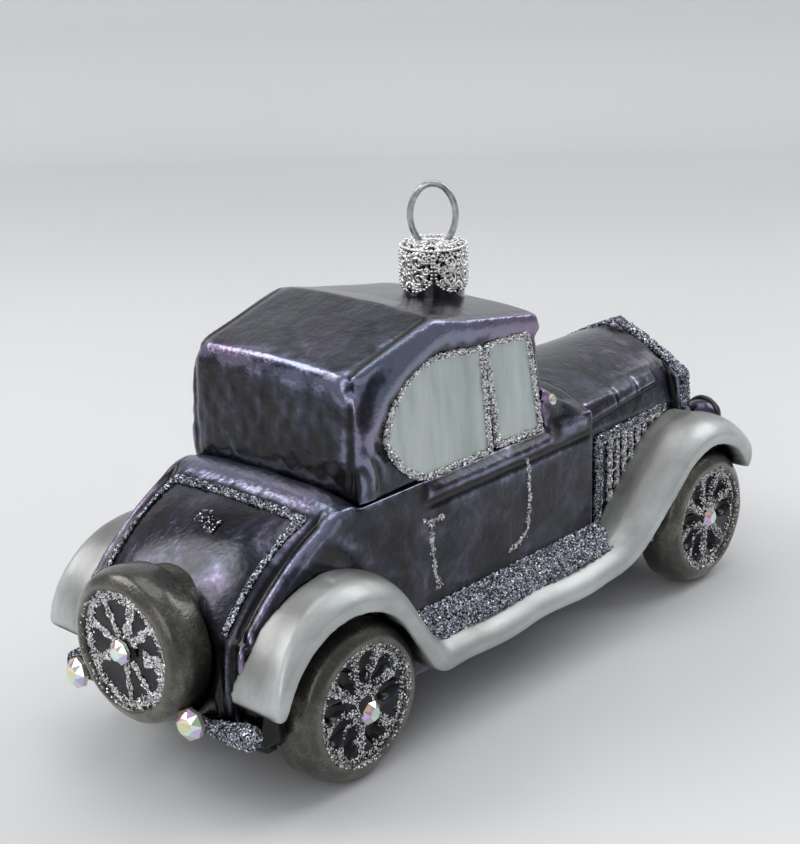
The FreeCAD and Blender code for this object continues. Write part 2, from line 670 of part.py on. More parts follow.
core_blank = new_body("radiator_core_blank")
core_sketch = sketch_in(core_blank, "radiator_core_outline", "YZ_Plane",
                        [radiator_outline("-2.2")],
                        "%s + %s" % (S("radiator_x"), S("radiator_depth")))
pad(core_blank, "radiator_core_pad", core_sketch, "%s + 0.3" % S("trim_height"))
SLATS = 7
slat_step = "(%s * 2 / %d)" % (S("radiator_half"), SLATS + 1)
grooves = []
for k in range(1, SLATS + 1):
    at = "%s * %d - %s" % (slat_step, k, S("radiator_half"))
    grooves.append(box("core_groove_%d" % k, "%s + %s + 0.4" % (S("radiator_x"), S("radiator_depth")),
                       "%s + %s + 2" % (S("radiator_x"), S("radiator_depth")),
                       "%s - 0.9" % at, "%s + 0.9" % at, "%s + 1.5" % CHASSIS_TOP,
                       "%s - 3.4" % S("radiator_corner")))
core = cut("radiator_core_slatted", core_blank, grooves)


# Fenders: one flowing skin each side, lofted through sections square to its sweep

def on_circle(centre, radius, angle):
    turn = Vector(cos(radians(angle)), 0, sin(radians(angle)))
    return centre + turn * radius


def path_arc(centre, radius, first, last):
    """Arc in the upright plane along the car, from one angle to another."""
    return Part.Arc(*(on_circle(centre, radius, first + (last - first) * share)
                      for share in (0, 0.5, 1))).toShape()


def fender_path():
    """The lip's line from the tail to the front tip: arcs joined by straight runs."""
    flare = size("flare_angle")
    arcs = []
    for end, forward in (("rear", 1), ("front", -1)):
        slope, bend = size(end + "_slope"), size(end + "_bend")
        centre = Vector(size(end + "_arch_x"), 0, size(end + "_arch_z"))
        start = on_circle(centre, size(end + "_arch_radius"), slope)
        fall = radians(90 - slope) * forward
        foot = start.x + forward * (start.z - size("board_z")) * cos(fall) / sin(fall)
        reach = bend * sin(fall / 2) / cos(fall / 2)
        middle = Vector(foot + forward * reach, 0, size("board_z") + bend)
        low = path_arc(middle, -bend, slope, 90) if forward > 0 else path_arc(middle, -bend, 90, slope)
        arcs.append((centre, low))
    (rear_centre, rear_low), (front_centre, front_low) = arcs
    rear = path_arc(rear_centre, size("rear_arch_radius"), size("tail_angle"), size("rear_slope"))
    front = path_arc(front_centre, size("front_arch_radius"), size("front_slope"), flare)
    flare_centre = on_circle(front_centre, size("front_arch_radius") - size("nose_radius"), flare)
    edges = [rear]
    for follower in (rear_low, front_low, front):
        edges.append(Part.makeLine(edges[-1].valueAt(edges[-1].LastParameter),
                                   follower.valueAt(follower.FirstParameter)))
        edges.append(follower)
    edges.append(path_arc(flare_centre, size("nose_radius"), flare, size("nose_angle")))
    return edges


def fender_section(lip, out):
    """Section on the car's right side at a point of the lip: round above a flat rim."""

    def spot(side, height):
        return Vector(lip.x, -side, lip.z) + out * height

    inner, outer = size("fender_inner"), size("fender_outer")
    rise, rim = size("fender_rise"), size("fender_rim")
    crown = size("body_half") - 0.5
    shoulder = spot(crown + (outer - crown) * 0.76, rim + (rise - rim) * 0.76)
    return Part.Wire([
        Part.makeLine(spot(inner, 0), spot(inner, rise)),
        Part.makeLine(spot(inner, rise), spot(crown, rise)),
        Part.Arc(spot(crown, rise), shoulder, spot(outer, rim)).toShape(),
        Part.makeLine(spot(outer, rim), spot(outer, 0)),
        Part.makeLine(spot(outer, 0), spot(inner, 0)),
    ])


fender_run = fender_path()
tail_lip = fender_run[0].valueAt(fender_run[0].FirstParameter)
tail_out = (tail_lip - Vector(size("rear_arch_x"), 0, size("rear_arch_z"))).normalize()
fender_sweep = doc.addObject("Part::Feature", "fender_sweep")
fender_sweep.Shape = Part.Wire(fender_run).makePipe(Part.Face(fender_section(tail_lip, tail_out)))

# The rear fender thins towards its foot: its crown runs on a circle of its own
tail_edge = tail_lip + tail_out * size("fender_tail")
crown_top = Vector(size("rear_arch_x"), 0,
                   size("rear_arch_z") + size("rear_arch_radius") + size("fender_rise"))
reach = crown_top.x - tail_edge.x
depth = crown_top.z - tail_edge.z
taper_radius = (reach ** 2 + depth ** 2) / (2 * depth)
taper_middle = Vector(crown_top.x, 0, crown_top.z - taper_radius)
half_way = radians(90 + degrees(atan2(reach, tail_edge.z - taper_middle.z)) / 2)
taper_bow = taper_middle + Vector(cos(half_way), 0, sin(half_way)) * taper_radius
above = crown_top + Vector(0, 0, size("fender_rise"))
ahead = Vector(size("radiator_x") + size("nose_radius"), 0, 0)
taper_wire = Part.Wire([
    Part.Arc(tail_edge, taper_bow, crown_top).toShape(),
    Part.makeLine(crown_top, above),
    Part.makeLine(above, ahead + Vector(0, 0, above.z)),
    Part.makeLine(ahead + Vector(0, 0, above.z), ahead),
    Part.makeLine(ahead, Vector(tail_edge.x, 0, 0)),
    Part.makeLine(Vector(tail_edge.x, 0, 0), tail_edge),
])
fender_taper = doc.addObject("Part::Feature", "fender_taper")
fender_taper.Shape = Part.Face(taper_wire).extrude(Vector(0, -1.5 * size("fender_outer"), 0))
fender_blank = common("fender_blank", fender_sweep, fender_taper)


# The room under the fender's lip, which no trim on the body reaches into
tip = fender_run[-1].valueAt(fender_run[-1].LastParameter)
room_outline = Part.Wire(fender_run + [
    Part.makeLine(tip, Vector(tip.x, 0, 0)),
    Part.makeLine(Vector(tip.x, 0, 0), Vector(tail_lip.x, 0, 0)),
    Part.makeLine(Vector(tail_lip.x, 0, 0), tail_lip),
])
fender_room = doc.addObject("Part::Feature", "fender_room")
fender_room.Shape = Part.Face(room_outline).extrude(Vector(0, -1.2 * size("fender_outer"), 0))


# Closed arches, chassis and wheel pockets

POCKET = "%s + %s" % (S("tyre_radius"), S("wheel_fit"))
arch_inner = "(%s + 1.0)" % S("fender_inner")
arches = []
pockets = []
fender_pockets = []
for end in ("rear", "front"):
    axle = S(end + "_axle_x")
    lip = S(end + "_arch_radius")
    arch = cylinder(end + "_arch", lip, "%s + 2.6 - %s" % (S("body_half"), arch_inner),
                    S(end + "_arch_x"), "-%s" % arch_inner, S(end + "_arch_z"), OUT_RIGHT)
    above = box(end + "_arch_keep", "%s - %s" % (S(end + "_arch_x"), lip),
                "%s + %s" % (S(end + "_arch_x"), lip), "-2 * %s" % S("body_half"), "0",
                S("board_z"), "%s + 2 * %s" % (S(end + "_arch_z"), lip))
    arches.append(common(end + "_arch_blank", arch, above))
    pockets.append(cylinder(end + "_pocket", POCKET, S("body_half"), axle,
                            "-%s" % S("wheel_seat"), S("tyre_radius"), OUT_RIGHT))
    fender_pockets.append(cylinder(end + "_fender_pocket", POCKET, "%s + 0.2" % S("wheel_width"),
                                   axle, "-%s" % S("wheel_seat"), S("tyre_radius"), OUT_RIGHT))

BUMPER_X = "%s + %s + 4.5" % (S("radiator_x"), S("radiator_depth"))
chassis = box("chassis_blank", "%s - 4" % S("cowl_x"), BUMPER_X, "-%s + 1" % S("body_half"),
              "%s - 1" % S("body_half"), S("belly"), CHASSIS_TOP)


def bumper(label, rear_x, half, low):
    """A bar across the car, slimmer in the middle, its ends rounded."""
    body = new_body(label)
    high = "(%s + %s)" % (low, S("bumper_height"))
    round_y = "(%s - %s / 2)" % (half, S("bumper_height"))
    middle = "(%s + %s / 2)" % (low, S("bumper_height"))
    waist = "(%s / 2)" % S("bumper_waist")
    outline = sketch_in(body, label + "_outline", "YZ_Plane", [[
        ("-%s" % round_y, low, ("0", "%s - %s" % (middle, waist))),
        ("-%s" % round_y, high, ("-%s" % half, middle)),
        (round_y, high, ("0", "%s + %s" % (middle, waist))),
        (round_y, low, (half, middle)),
    ]], rear_x)
    pad(body, label + "_pad", outline, S("bumper_depth"))
    return body


front_bumper = bumper("front_bumper", BUMPER_X, S("front_bumper_half"), "(%s - 2.5)" % S("bumper_z"))
node(front_bumper)
arches_right = cut("arches_right", fuse("arches_sum", arches),
                   [fender_blank, hood, radiator, band, core, front_bumper])
arches_left = mirrored("arches_left", arches_right)
pockets_right = fuse("pockets_right", pockets)
pockets_left = mirrored("pockets_left", pockets_right)
spare_pocket = cylinder("spare_pocket", "%s + %s" % (S("spare_radius"), S("wheel_fit")), "20",
                        S("spare_x"), "0", S("spare_z"), OUT_REAR)
shell_sum = fuse("shell_sum", [tub_blank, cowl_blank, stub_right, stub_left, chassis,
                               arches_right, arches_left])
body_shell = node(cut("body_shell", shell_sum,
                      [pockets_right, pockets_left, spare_pocket, cab_whole]))

fender_right = node(cut("fender_right", fender_blank,
                        [tub_blank, hood, radiator, chassis] + fender_pockets))
fender_left = node(mirrored("fender_left", fender_right))
radiator_trim = node(cut("radiator_trim", band, [radiator, fender_right, fender_left]))
node(cut("radiator_core", core, [fender_right, fender_left]))
spare_blank = fuse("spare_tyre_sum", [spare_wide, spare_root])
spare_tyre = node(cut("spare_tyre", spare_blank, [body_shell]))


# Running boards: glitter between the body's side and the fender's silver edge

BOARD_REAR = "(%s + %s)" % (S("rear_axle_x"), S("board_rear"))
BOARD_FRONT = "(%s - %s)" % (S("front_axle_x"), S("board_front"))
board = new_body("board_blank")
board_sketch = sketch_in(board, "board_section", "YZ_Plane", [[
    ("-%s" % S("body_half"), "%s + 2.4" % S("board_z")),
    ("-%s" % S("body_half"), "%s + 8" % S("board_z")),
    ("-%s" % S("board_half"), "%s + 4.8" % S("board_z"),
     ("-%s - 1.9" % S("body_half"), "%s + 6.1" % S("board_z"))),
    ("-%s" % S("board_half"), "%s + 2.4" % S("board_z")),
]], BOARD_REAR)
pad(board, "board_pad", board_sketch, "%s - %s" % (BOARD_FRONT, BOARD_REAR))
board_right = node(cut("running_board_right", board, [fender_blank, fender_room]))
node(mirrored("running_board_left", board_right))


# Window panes and their glitter bands, on the cab's leaning sides

LEAN = degrees(atan2(size("cab_half") - size("cab_head"), size("roof_front") - size("belt")))


def wall_sketch(label, outline):
    """A sketch on the cab's right wall: x along the car, y up the wall from the belt."""
    sk = doc.addObject("Sketcher::SketchObject", label)
    draw_outline(sk, outline)
    sk.Placement = Placement(Vector(0, -size("cab_half"), size("belt")),
                             Rotation(Vector(1, 0, 0), 90 - LEAN))
    return sk


def extrude_out(label, base, height):
    """Raises a flat shape off the cab's right wall."""
    feature = doc.addObject("Part::Extrusion", label)
    feature.Base = base
    feature.DirMode = "Custom"
    feature.Dir = Vector(0, -cos(radians(LEAN)), sin(radians(LEAN)))
    feature.Solid = True
    return sized(feature, LengthFwd=height)


def band_round(label, outline_sketch):
    """A flat band of one width round an outline."""
    feature = doc.addObject("Part::Offset2D", label)
    feature.Source = outline_sketch
    feature.Fill = True
    feature.Join = 0
    return sized(feature, Value=S("pane_band"))


HEAD = "(%s - %s - %s)" % (S("roof_front"), S("belt"), S("pane_head"))
SILL = S("pane_sill")
quarter_outline = [
    ("%s + 15.1" % S("cab_rear"), SILL, ("%s + 9.7" % S("cab_rear"), "%s + 3.4" % SILL)),
    ("%s - 1.1" % S("pillar_x"), SILL),
    ("%s - 2.0" % S("pillar_x"), "%s - 0.8" % HEAD),
    ("%s + 21.3" % S("cab_rear"), "%s + 0.1" % HEAD),
    ("%s + 7.2" % S("cab_rear"), "%s - 8.9" % HEAD, ("%s + 10.3" % S("cab_rear"), "%s - 3.4" % HEAD)),
]
door_outline = [
    ("%s + 1.7" % S("pillar_x"), "%s + 0.2" % SILL),
    ("%s - 2.6" % S("cab_front"), SILL),
    ("%s - 4.8" % S("cab_front"), "%s - 1.2" % HEAD),
    ("%s + 0.1" % S("pillar_x"), "%s - 0.6" % HEAD),
]
for name, outline in (("quarter", quarter_outline), ("door", door_outline)):
    pane_sketch = wall_sketch(name + "_outline", outline)
    pane = node(extrude_out(name + "_pane_right", pane_sketch, S("pane")))
    node(mirrored(name + "_pane_left", pane))
    band_blank = extrude_out(name + "_band_blank", band_round(name + "_band", pane_sketch), S("glitter"))
    trim = node(cut(name + "_pane_trim_right", band_blank, [tub_blank, cowl_blank]))
    node(mirrored(name + "_pane_trim_left", trim))

screen_rise = size("roof_front") - 3.5 - size("belt")
screen_up = Vector(-1.9, 0, screen_rise).normalize()
screen_out = Vector(0, 1, 0).cross(screen_up)
screen_half = "(%s - 3.4)" % S("cab_head")
screen_sketch = doc.addObject("Sketcher::SketchObject", "windscreen_outline")
draw_outline(screen_sketch, [
    ("-%s" % screen_half, "1.8", ("0", "3.6")),
    ("-%s + 0.4" % screen_half, "%s - 2.6" % HEAD),
    ("%s - 0.4" % screen_half, "%s - 2.6" % HEAD),
    (screen_half, "1.8"),
])
screen_sketch.Placement = Placement(Vector(size("cab_front"), 0, size("belt")),
                                    Rotation(Vector(0, 1, 0), screen_up, screen_out, "ZXY"))
screen_band = band_round("windscreen_band", screen_sketch)
for label, base, height in (("windscreen", screen_sketch, "pane"),
                            ("windscreen_trim", screen_band, "glitter")):
    raised = doc.addObject("Part::Extrusion", label + "_blank")
    raised.Base = base
    raised.DirMode = "Custom"
    raised.Dir = screen_out
    raised.Solid = True
    sized(raised, LengthFwd=S(height))
    node(cut(label, raised, [cowl_blank, stub_right, stub_left]))


# Fine glitter lines: boot lid, its handle, doors, louvres

deck_skin = make_tub("deck_skin")
put(deck_skin, "-0.7 * %s" % S("trim_height"), "0", "0.7 * %s" % S("trim_height"))
lid_view = new_body("lid_view")
lid_front = "%s - 7.1" % S("cab_rear")
lid_rear = "%s + 2.0" % S("tail_x")
lid_half = S("lid_half")
lid_sketch = sketch_in(lid_view, "lid_lines", "XY_Plane", [[
    (lid_front, "-" + lid_half),
    (lid_front, lid_half),
    (lid_rear, lid_half),
    (lid_rear, "%s - %s" % (lid_half, S("trim_width"))),
    ("%s - %s" % (lid_front, S("trim_width")), "%s - %s" % (lid_half, S("trim_width"))),
    ("%s - %s" % (lid_front, S("trim_width")), "-%s + %s" % (lid_half, S("trim_width"))),
    (lid_rear, "-%s + %s" % (lid_half, S("trim_width"))),
    (lid_rear, "-" + lid_half),
]], "20")
pad(lid_view, "lid_pad", lid_sketch, "25")
lid_layer = common("lid_layer", deck_skin, lid_view)
node(cut("lid_trim", lid_layer, [body_shell, spare_tyre, fender_right, fender_left]))

handle_view = box("handle_view", "%s - 14.6" % S("cab_rear"), "%s - 12.4" % S("cab_rear"),
                  "-2.6", "2.6", "%s - 10" % S("belt"), "%s + 10" % S("belt"))
handle_skin = make_tub("handle_skin")
put(handle_skin, "-0.7 * %s" % S("trim_height"), "0", "0.7 * %s" % S("trim_height"))
node(cut("lid_handle", common("handle_layer", handle_skin, handle_view), [body_shell]))


def side_lines(label, outlines, out, height):
    """Raised lines on an upright side wall that faces right."""
    body = new_body(label)
    sk = sketch_in(body, label + "_lines", "XZ_Plane", outlines, out)
    pad(body, label + "_pad", sk, height)
    return body


line = S("trim_width")
door_back = "(%s - %s)" % (S("pillar_x"), S("door_length"))
door_edge = "(%s - %s)" % (S("cab_front"), S("door_inset"))
door_foot = "(%s + %s)" % (S("board_z"), S("door_foot"))
door_top = "(%s - %s - 0.5)" % (S("belt"), S("roll_height"))
door_rear = [
    (door_back, door_foot),
    ("%s + %s" % (door_back, line), door_foot),
    ("%s + %s" % (door_back, line), "%s - 4.2" % door_top),
    ("%s + 2.9" % door_back, "%s - 3.2" % door_top),
    ("%s + 2.5" % door_back, "%s - 2.0" % door_top),
    (door_back, "%s - 2.8" % door_top),
]
door_front = [
    (door_edge, door_top),
    ("%s + 0.1" % door_edge, "%s + 2.6" % door_foot),
    ("%s - 2.2" % door_edge, door_foot, ("%s - 0.7" % door_edge, "%s + 1.0" % door_foot)),
    ("%s - 0.8" % door_edge, "%s - 0.8" % door_foot),
    ("%s + 0.1 + %s" % (door_edge, line), "%s + 2.4" % door_foot,
     ("%s + 0.9" % door_edge, "%s + 0.4" % door_foot)),
    ("%s + %s" % (door_edge, line), door_top),
]
door_trim = node(side_lines("door_trim_right", [door_rear, door_front], S("body_half"),
                            S("trim_height")))
node(mirrored("door_trim_left", door_trim))


def belt_roll(label, rear, front):
    """Half-round roll on the body's right side, from one place along the car to another."""
    body = new_body(label)
    top = "(%s - 0.4)" % S("belt")
    foot = "(%s - %s)" % (top, S("roll_height"))
    outline = sketch_in(body, label + "_section", "YZ_Plane", [[
        ("-%s" % S("body_half"), foot),
        ("-%s" % S("body_half"), top, ("-%s - %s" % (S("body_half"), S("roll_rise")),
                                      "(%s + %s) / 2" % (top, foot))),
    ]], rear)
    pad(body, label + "_pad", outline, "(%s) - (%s)" % (front, rear))
    return body


roll_right = node(belt_roll("belt_roll_right", "%s + 14.4" % S("cab_rear"), S("cab_front")))
node(mirrored("belt_roll_left", roll_right))

louvre_block = new_body("louvre_block")
louvre_low = "(%s + 5.5)" % CHASSIS_TOP
louvre_rear = "(%s + 2.6)" % S("cowl_x")
louvre_front = "(%s - 4.0)" % S("radiator_x")
louvre_high = "(%s - 6.0)" % S("belt")
louvre_end = "(%s - 4.0)" % S("radiator_corner")
louvre_outline = [
    (louvre_rear, louvre_low),
    ("%s + 2.0" % louvre_rear, louvre_low),
    ("%s + 2.0" % louvre_rear, "%s - 1.7" % louvre_high),
    (louvre_front, "%s - 1.4" % louvre_end),
    (louvre_front, louvre_end),
    (louvre_rear, louvre_high),
]
louvre_frame = sketch_in(louvre_block, "louvre_frame", "XZ_Plane", [louvre_outline], "12")
louvre_pad = pad(louvre_block, "louvre_frame_pad", louvre_frame, "8")
slat_rear = "(%s + 4.3)" % louvre_rear
louvre_slat = sketch_in(louvre_block, "louvre_slat", "XZ_Plane", [[
    (slat_rear, louvre_low),
    ("%s + 1.0" % slat_rear, louvre_low),
    ("%s + 1.0" % slat_rear, "%s - 1.5" % louvre_high),
    (slat_rear, "%s - 1.5" % louvre_high),
]], "12")
slat_pad = pad(louvre_block, "louvre_slat_pad", louvre_slat, "8")
doc.recompute()
slats = louvre_block.newObject("PartDesign::LinearPattern", "louvre_slats")
slats.Originals = [slat_pad]
slats.Direction = (louvre_slat, ["H_Axis"])
sized(slats, Length="7 * %s" % S("slat_pitch"))
slats.Occurrences = 8
louvre_block.Tip = slats

hood_skin = make_hood("hood_skin", S("trim_height"))
louvre_layer = common("louvre_layer", louvre_block, hood_skin)
louvre_trim = node(cut("louvre_trim_right", louvre_layer,
                       [hood, fender_blank, fender_room, body_shell]))
node(mirrored("louvre_trim_left", louvre_trim))


# Bumpers, lamps and stones

rear_bar = bumper("rear_bar", "%s - %s" % (S("tail_x"), S("bumper_depth")), S("bumper_half"),
                  S("bumper_z"))
spare_room = cylinder("spare_room", "%s + 0.3" % S("spare_radius"), "20",
                      "%s + 5" % S("spare_x"), "0", S("spare_z"), OUT_REAR)
node(cut("rear_bumper", rear_bar, [spare_room, fender_right, fender_left]))

for side, sign in (("right", "-"), ("left", "")):
    node(make_stone("tail_stone_" + side, S("tail_stone"),
                    ("%s - %s" % (S("tail_x"), S("bumper_depth")),
                     "%s%s" % (sign, S("tail_stone_y")),
                     "%s + %s / 2 + 0.2" % (S("bumper_z"), S("bumper_height")), OUT_REAR)))

stone_blank = make_stone("cowl_stone_blank", S("side_stone"),
                         ("%s + 1.1" % S("cab_front"), "-(%s + %s - 0.4)" % (stub_y, S("stub_radius")),
                          "%s - 1.2" % stub_z, OUT_RIGHT))
cowl_stone = node(cut("cowl_stone_right", stone_blank, [stub_right]))
node(mirrored("cowl_stone_left", cowl_stone))

bulb = doc.addObject("Part::Sphere", "headlamp_bulb")
sized(bulb, Radius=S("lamp_radius"))
put(bulb, "%s + %s + 2.3" % (S("radiator_x"), S("radiator_depth")), "-%s" % S("lamp_y"), S("lamp_z"))
lamp_right = node(cut("headlamp_right", bulb, [fender_right, radiator, radiator_trim, core]))
node(mirrored("headlamp_left", lamp_right))


# Glass neck

neck_outer = "(%s - %s - %s)" % (S("cap_radius"), S("cap_sheet"), S("cap_play"))
neck_top = "(%s - %s - 0.5)" % (CAP_TOP, S("cap_sheet"))
neck_root = "(%s - 4)" % ROOF_AT_NECK
neck_tube = new_body("neck_tube")
neck_section = sketch_in(neck_tube, "neck_section", "XZ_Plane", [[
    ("0", neck_root),
    (neck_outer, neck_root),
    (neck_outer, "%s - 0.4" % neck_top),
    ("%s - 0.4" % neck_outer, neck_top),
    ("0", neck_top),
]])
revolve(neck_tube, "neck_turned", neck_section)
put(neck_tube, S("neck_x"))
node(cut("neck", neck_tube, [cab_whole, bore]))


# Crown cap: a drawn metal cup split into four petals with arched feet

TURN = Rotation(Vector(0, 0, 1), size("hanger_turn") - 90)
cap = new_body("cap")
inside = "%s - %s" % (S("cap_radius"), S("cap_sheet"))
cap_section = sketch_in(cap, "cap_section", "XZ_Plane", [[
    (inside, CAP_FOOT),
    (S("cap_radius"), CAP_FOOT),
    (S("cap_radius"), "%s - 0.9" % CAP_TOP),
    ("%s - 0.3" % S("cap_radius"), "%s - 0.3" % CAP_TOP),
    ("%s - 0.9" % S("cap_radius"), CAP_TOP),
    ("0", CAP_TOP),
    ("0", "%s - %s" % (CAP_TOP, S("cap_sheet"))),
    ("%s - 0.9" % inside, "%s - %s" % (CAP_TOP, S("cap_sheet"))),
    (inside, "%s - %s - 0.9" % (CAP_TOP, S("cap_sheet"))),
]])
revolve(cap, "cap_drawn", cap_section)
half_slit = "%s / 2" % S("slit_width")
slit = sketch_in(cap, "cap_slit", "XZ_Plane", [[
    ("-%s" % half_slit, "%s - 3.0" % CAP_TOP),
    ("-%s" % half_slit, "%s + 1.6" % CAP_FOOT),
    ("-2.7", "%s - 0.2" % CAP_FOOT, ("-1.6", "%s + 0.9" % CAP_FOOT)),
    ("2.7", "%s - 0.2" % CAP_FOOT),
    (half_slit, "%s + 1.6" % CAP_FOOT, ("1.6", "%s + 0.9" % CAP_FOOT)),
    (half_slit, "%s - 3.0" % CAP_TOP),
]])
doc.recompute()
slit_cut = cap.newObject("PartDesign::Pocket", "cap_slit_cut")
slit_cut.Profile = slit
slit_cut.SideType = "Symmetric"
sized(slit_cut, Length="3 * %s" % S("cap_radius"))
doc.recompute()
quarters = cap.newObject("PartDesign::PolarPattern", "cap_slits")
quarters.Originals = [slit_cut]
quarters.Axis = (cap_section, ["V_Axis"])
quarters.Angle = 90
quarters.Occurrences = 2
cap.Tip = quarters
doc.recompute()


# Wire loop: an oval of four arcs whose legs pass through the cap and spring in the neck

def loop_path():
    """Legs, bends and oval as straight runs and tangent arcs, in the loop's own plane."""
    half, cap_top = size("loop_half"), value_of(CAP_TOP)
    top = cap_top + size("loop_rise")
    half_height = (size("loop_rise") + 0.9) / 2
    middle = top - half_height
    end_radius = 0.8 * half
    side_radius = (half_height ** 2 + half ** 2 - 2 * half_height * end_radius) / (
        2 * (half - end_radius))
    end_centre = Vector(0, 0, top - end_radius)
    side_centre = Vector(side_radius - half, 0, middle)
    joint = side_centre + (end_centre - side_centre).normalize() * side_radius
    joint = Vector(-joint.x, 0, joint.z) if joint.x > 0 else joint
    reach = side_centre.x + size("leg_half")
    foot_z = middle - sqrt(side_radius ** 2 - reach ** 2)
    hole = Vector(-size("leg_half"), 0, foot_z)
    spoke = (hole - side_centre).normalize()
    down = Vector(-spoke.z, 0, spoke.x)
    if down.z > 0:
        down = down * -1
    corner = hole + down * 0.9
    foot = Vector(-size("neck_bore") + size("wire") / 2 + 0.25, 0, value_of(LEG_FOOT))
    run = (foot - corner).normalize()
    turn = down.getAngle(run)
    bend = 0.9 / (sin(turn / 2) / cos(turn / 2))
    after = corner + run * 0.9
    inward = (run - down).normalize()
    bend_middle = corner + inward * (bend / cos(turn / 2) - bend)
    side_mid = side_centre + ((hole - side_centre) + (joint - side_centre)).normalize() * side_radius

    def flip(p):
        return Vector(-p.x, 0, p.z)

    left = [Part.makeLine(foot, after), Part.Arc(after, bend_middle, hole).toShape(),
            Part.Arc(hole, side_mid, joint).toShape()]
    right = [Part.Arc(flip(joint), flip(side_mid), flip(hole)).toShape(),
             Part.Arc(flip(hole), flip(bend_middle), flip(after)).toShape(),
             Part.makeLine(flip(after), flip(foot))]
    top_arc = Part.Arc(joint, Vector(0, 0, top), flip(joint)).toShape()
    return Part.Wire(left + [top_arc] + right), foot, run


path, foot, run = loop_path()
section = Part.Wire([Part.Circle(foot, run, size("wire") / 2).toShape()])
loop = doc.addObject("Part::Feature", "hanging_loop")
loop.Shape = path.makePipe(Part.Face(section))
loop.Placement = Placement(Vector(size("neck_x"), 0, 0), TURN)
node(loop)

hole_pair = [cylinder("leg_hole_%d" % i, "%s / 2 + 0.2" % S("wire"), "3",
                      "%s%s" % (sign, "(%s - 0.1)" % S("leg_half")), "0",
                      "%s - 1.5" % CAP_TOP) for i, sign in enumerate(("-", ""))]
cap_cut = cut("cap_shell", cap, hole_pair)
cap_cut.Placement = Placement(Vector(size("neck_x"), 0, 0), TURN)
node(cap_cut)

doc.recompute()

failed = [(o.Label, o.State) for o in doc.Objects if "Invalid" in o.State or "Error" in o.State]
for entry in failed:
    print("failed object:", entry)
faulty = [f.Label for f in NODES if f.Shape.isNull() or not f.Shape.isValid()]
print("faulty shapes:", faulty)
if failed or faulty:
    raise SystemExit("the model did not build")

os.makedirs("parts", exist_ok=True)
for piece in NODES:
    piece.Shape.exportStep("parts/%s.step" % piece.Label)
print(len(NODES), "pieces written")
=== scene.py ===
# %% [markdown]
# A mouth-blown glass hanging ornament in the form of an old coupe. The glass is silvered
# inside, lacquered in zones outside, and trimmed with glitter lines and glued crystals.
# A sprung crown cap with a wire loop turns on its neck. This lesson takes the packed
# model as a fixed frame, and gives each piece the soft, melted form and the finish that
# the real one has.

# %% Frame and tools
import bpy
import math
import numpy as np
from mathutils import Matrix, Vector
from mathutils.bvhtree import BVHTree


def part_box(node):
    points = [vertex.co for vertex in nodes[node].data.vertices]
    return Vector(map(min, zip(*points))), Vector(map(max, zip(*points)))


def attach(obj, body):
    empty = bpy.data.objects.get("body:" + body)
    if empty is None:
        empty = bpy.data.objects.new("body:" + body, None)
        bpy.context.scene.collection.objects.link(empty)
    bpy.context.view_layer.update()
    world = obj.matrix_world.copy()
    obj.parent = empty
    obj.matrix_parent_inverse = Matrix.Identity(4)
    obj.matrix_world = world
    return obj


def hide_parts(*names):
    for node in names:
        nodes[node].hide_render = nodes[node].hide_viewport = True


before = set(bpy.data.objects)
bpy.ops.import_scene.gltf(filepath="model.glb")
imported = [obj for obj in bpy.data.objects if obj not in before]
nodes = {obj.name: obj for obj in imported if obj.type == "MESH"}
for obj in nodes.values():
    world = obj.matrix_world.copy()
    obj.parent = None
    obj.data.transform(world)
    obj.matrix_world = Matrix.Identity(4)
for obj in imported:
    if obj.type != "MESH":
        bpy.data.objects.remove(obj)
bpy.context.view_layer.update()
MM = 0.001
print(len(nodes), "nodes in the frame")

# %% [markdown]
# The camera comes first, because it settles what each piece has to show. The photograph
# was taken from behind and to the right of the car, a little above it, from about 0.3 m.
# The place and directions below are the solved camera's, so the picture's perspective is
# the photograph's.

# %% Camera
CAMERA_PLACE = Vector((-204.87, -180.96, 134.48)) * MM
CAMERA_RIGHT = Vector((0.66507, -0.74642, -0.02319))
CAMERA_UP = Vector((0.25792, 0.20045, 0.94514))
FOCAL_PIXELS = 1756.5
PICTURE_HEIGHT = 844
SENSOR = 36.0
NEAREST_SEEN = 0.01


def new_object(name, data):
    """An object for some data, linked to the scene."""
    made = bpy.data.objects.new(name, data)
    bpy.context.scene.collection.objects.link(made)
    return made


camera_data = bpy.data.cameras.new("camera")
camera_data.sensor_width = SENSOR
camera_data.lens = FOCAL_PIXELS / PICTURE_HEIGHT * SENSOR
camera_data.clip_start = NEAREST_SEEN
camera = new_object("camera", camera_data)
backward = CAMERA_RIGHT.cross(CAMERA_UP)
turn = Matrix((CAMERA_RIGHT, CAMERA_UP, backward)).transposed()
camera.matrix_world = Matrix.Translation(CAMERA_PLACE) @ turn.to_4x4()
bpy.context.scene.camera = camera
print("the lens is", round(camera_data.lens, 1), "mm")

# %% [markdown]
# Colours are written as the hex values a picture shows, and one function turns them to
# the linear values that shaders work in. One small function adds a shader node with its
# settings and its links, so that each material below reads as a short recipe.

# %% Material helpers


def tint(code):
    """Linear RGBA of an sRGB hex colour."""
    channels = [int(code[i:i + 2], 16) / 255 for i in (1, 3, 5)]
    linear = [c / 12.92 if c <= 0.04045 else ((c + 0.055) / 1.055) ** 2.4 for c in channels]
    return (*linear, 1.0)


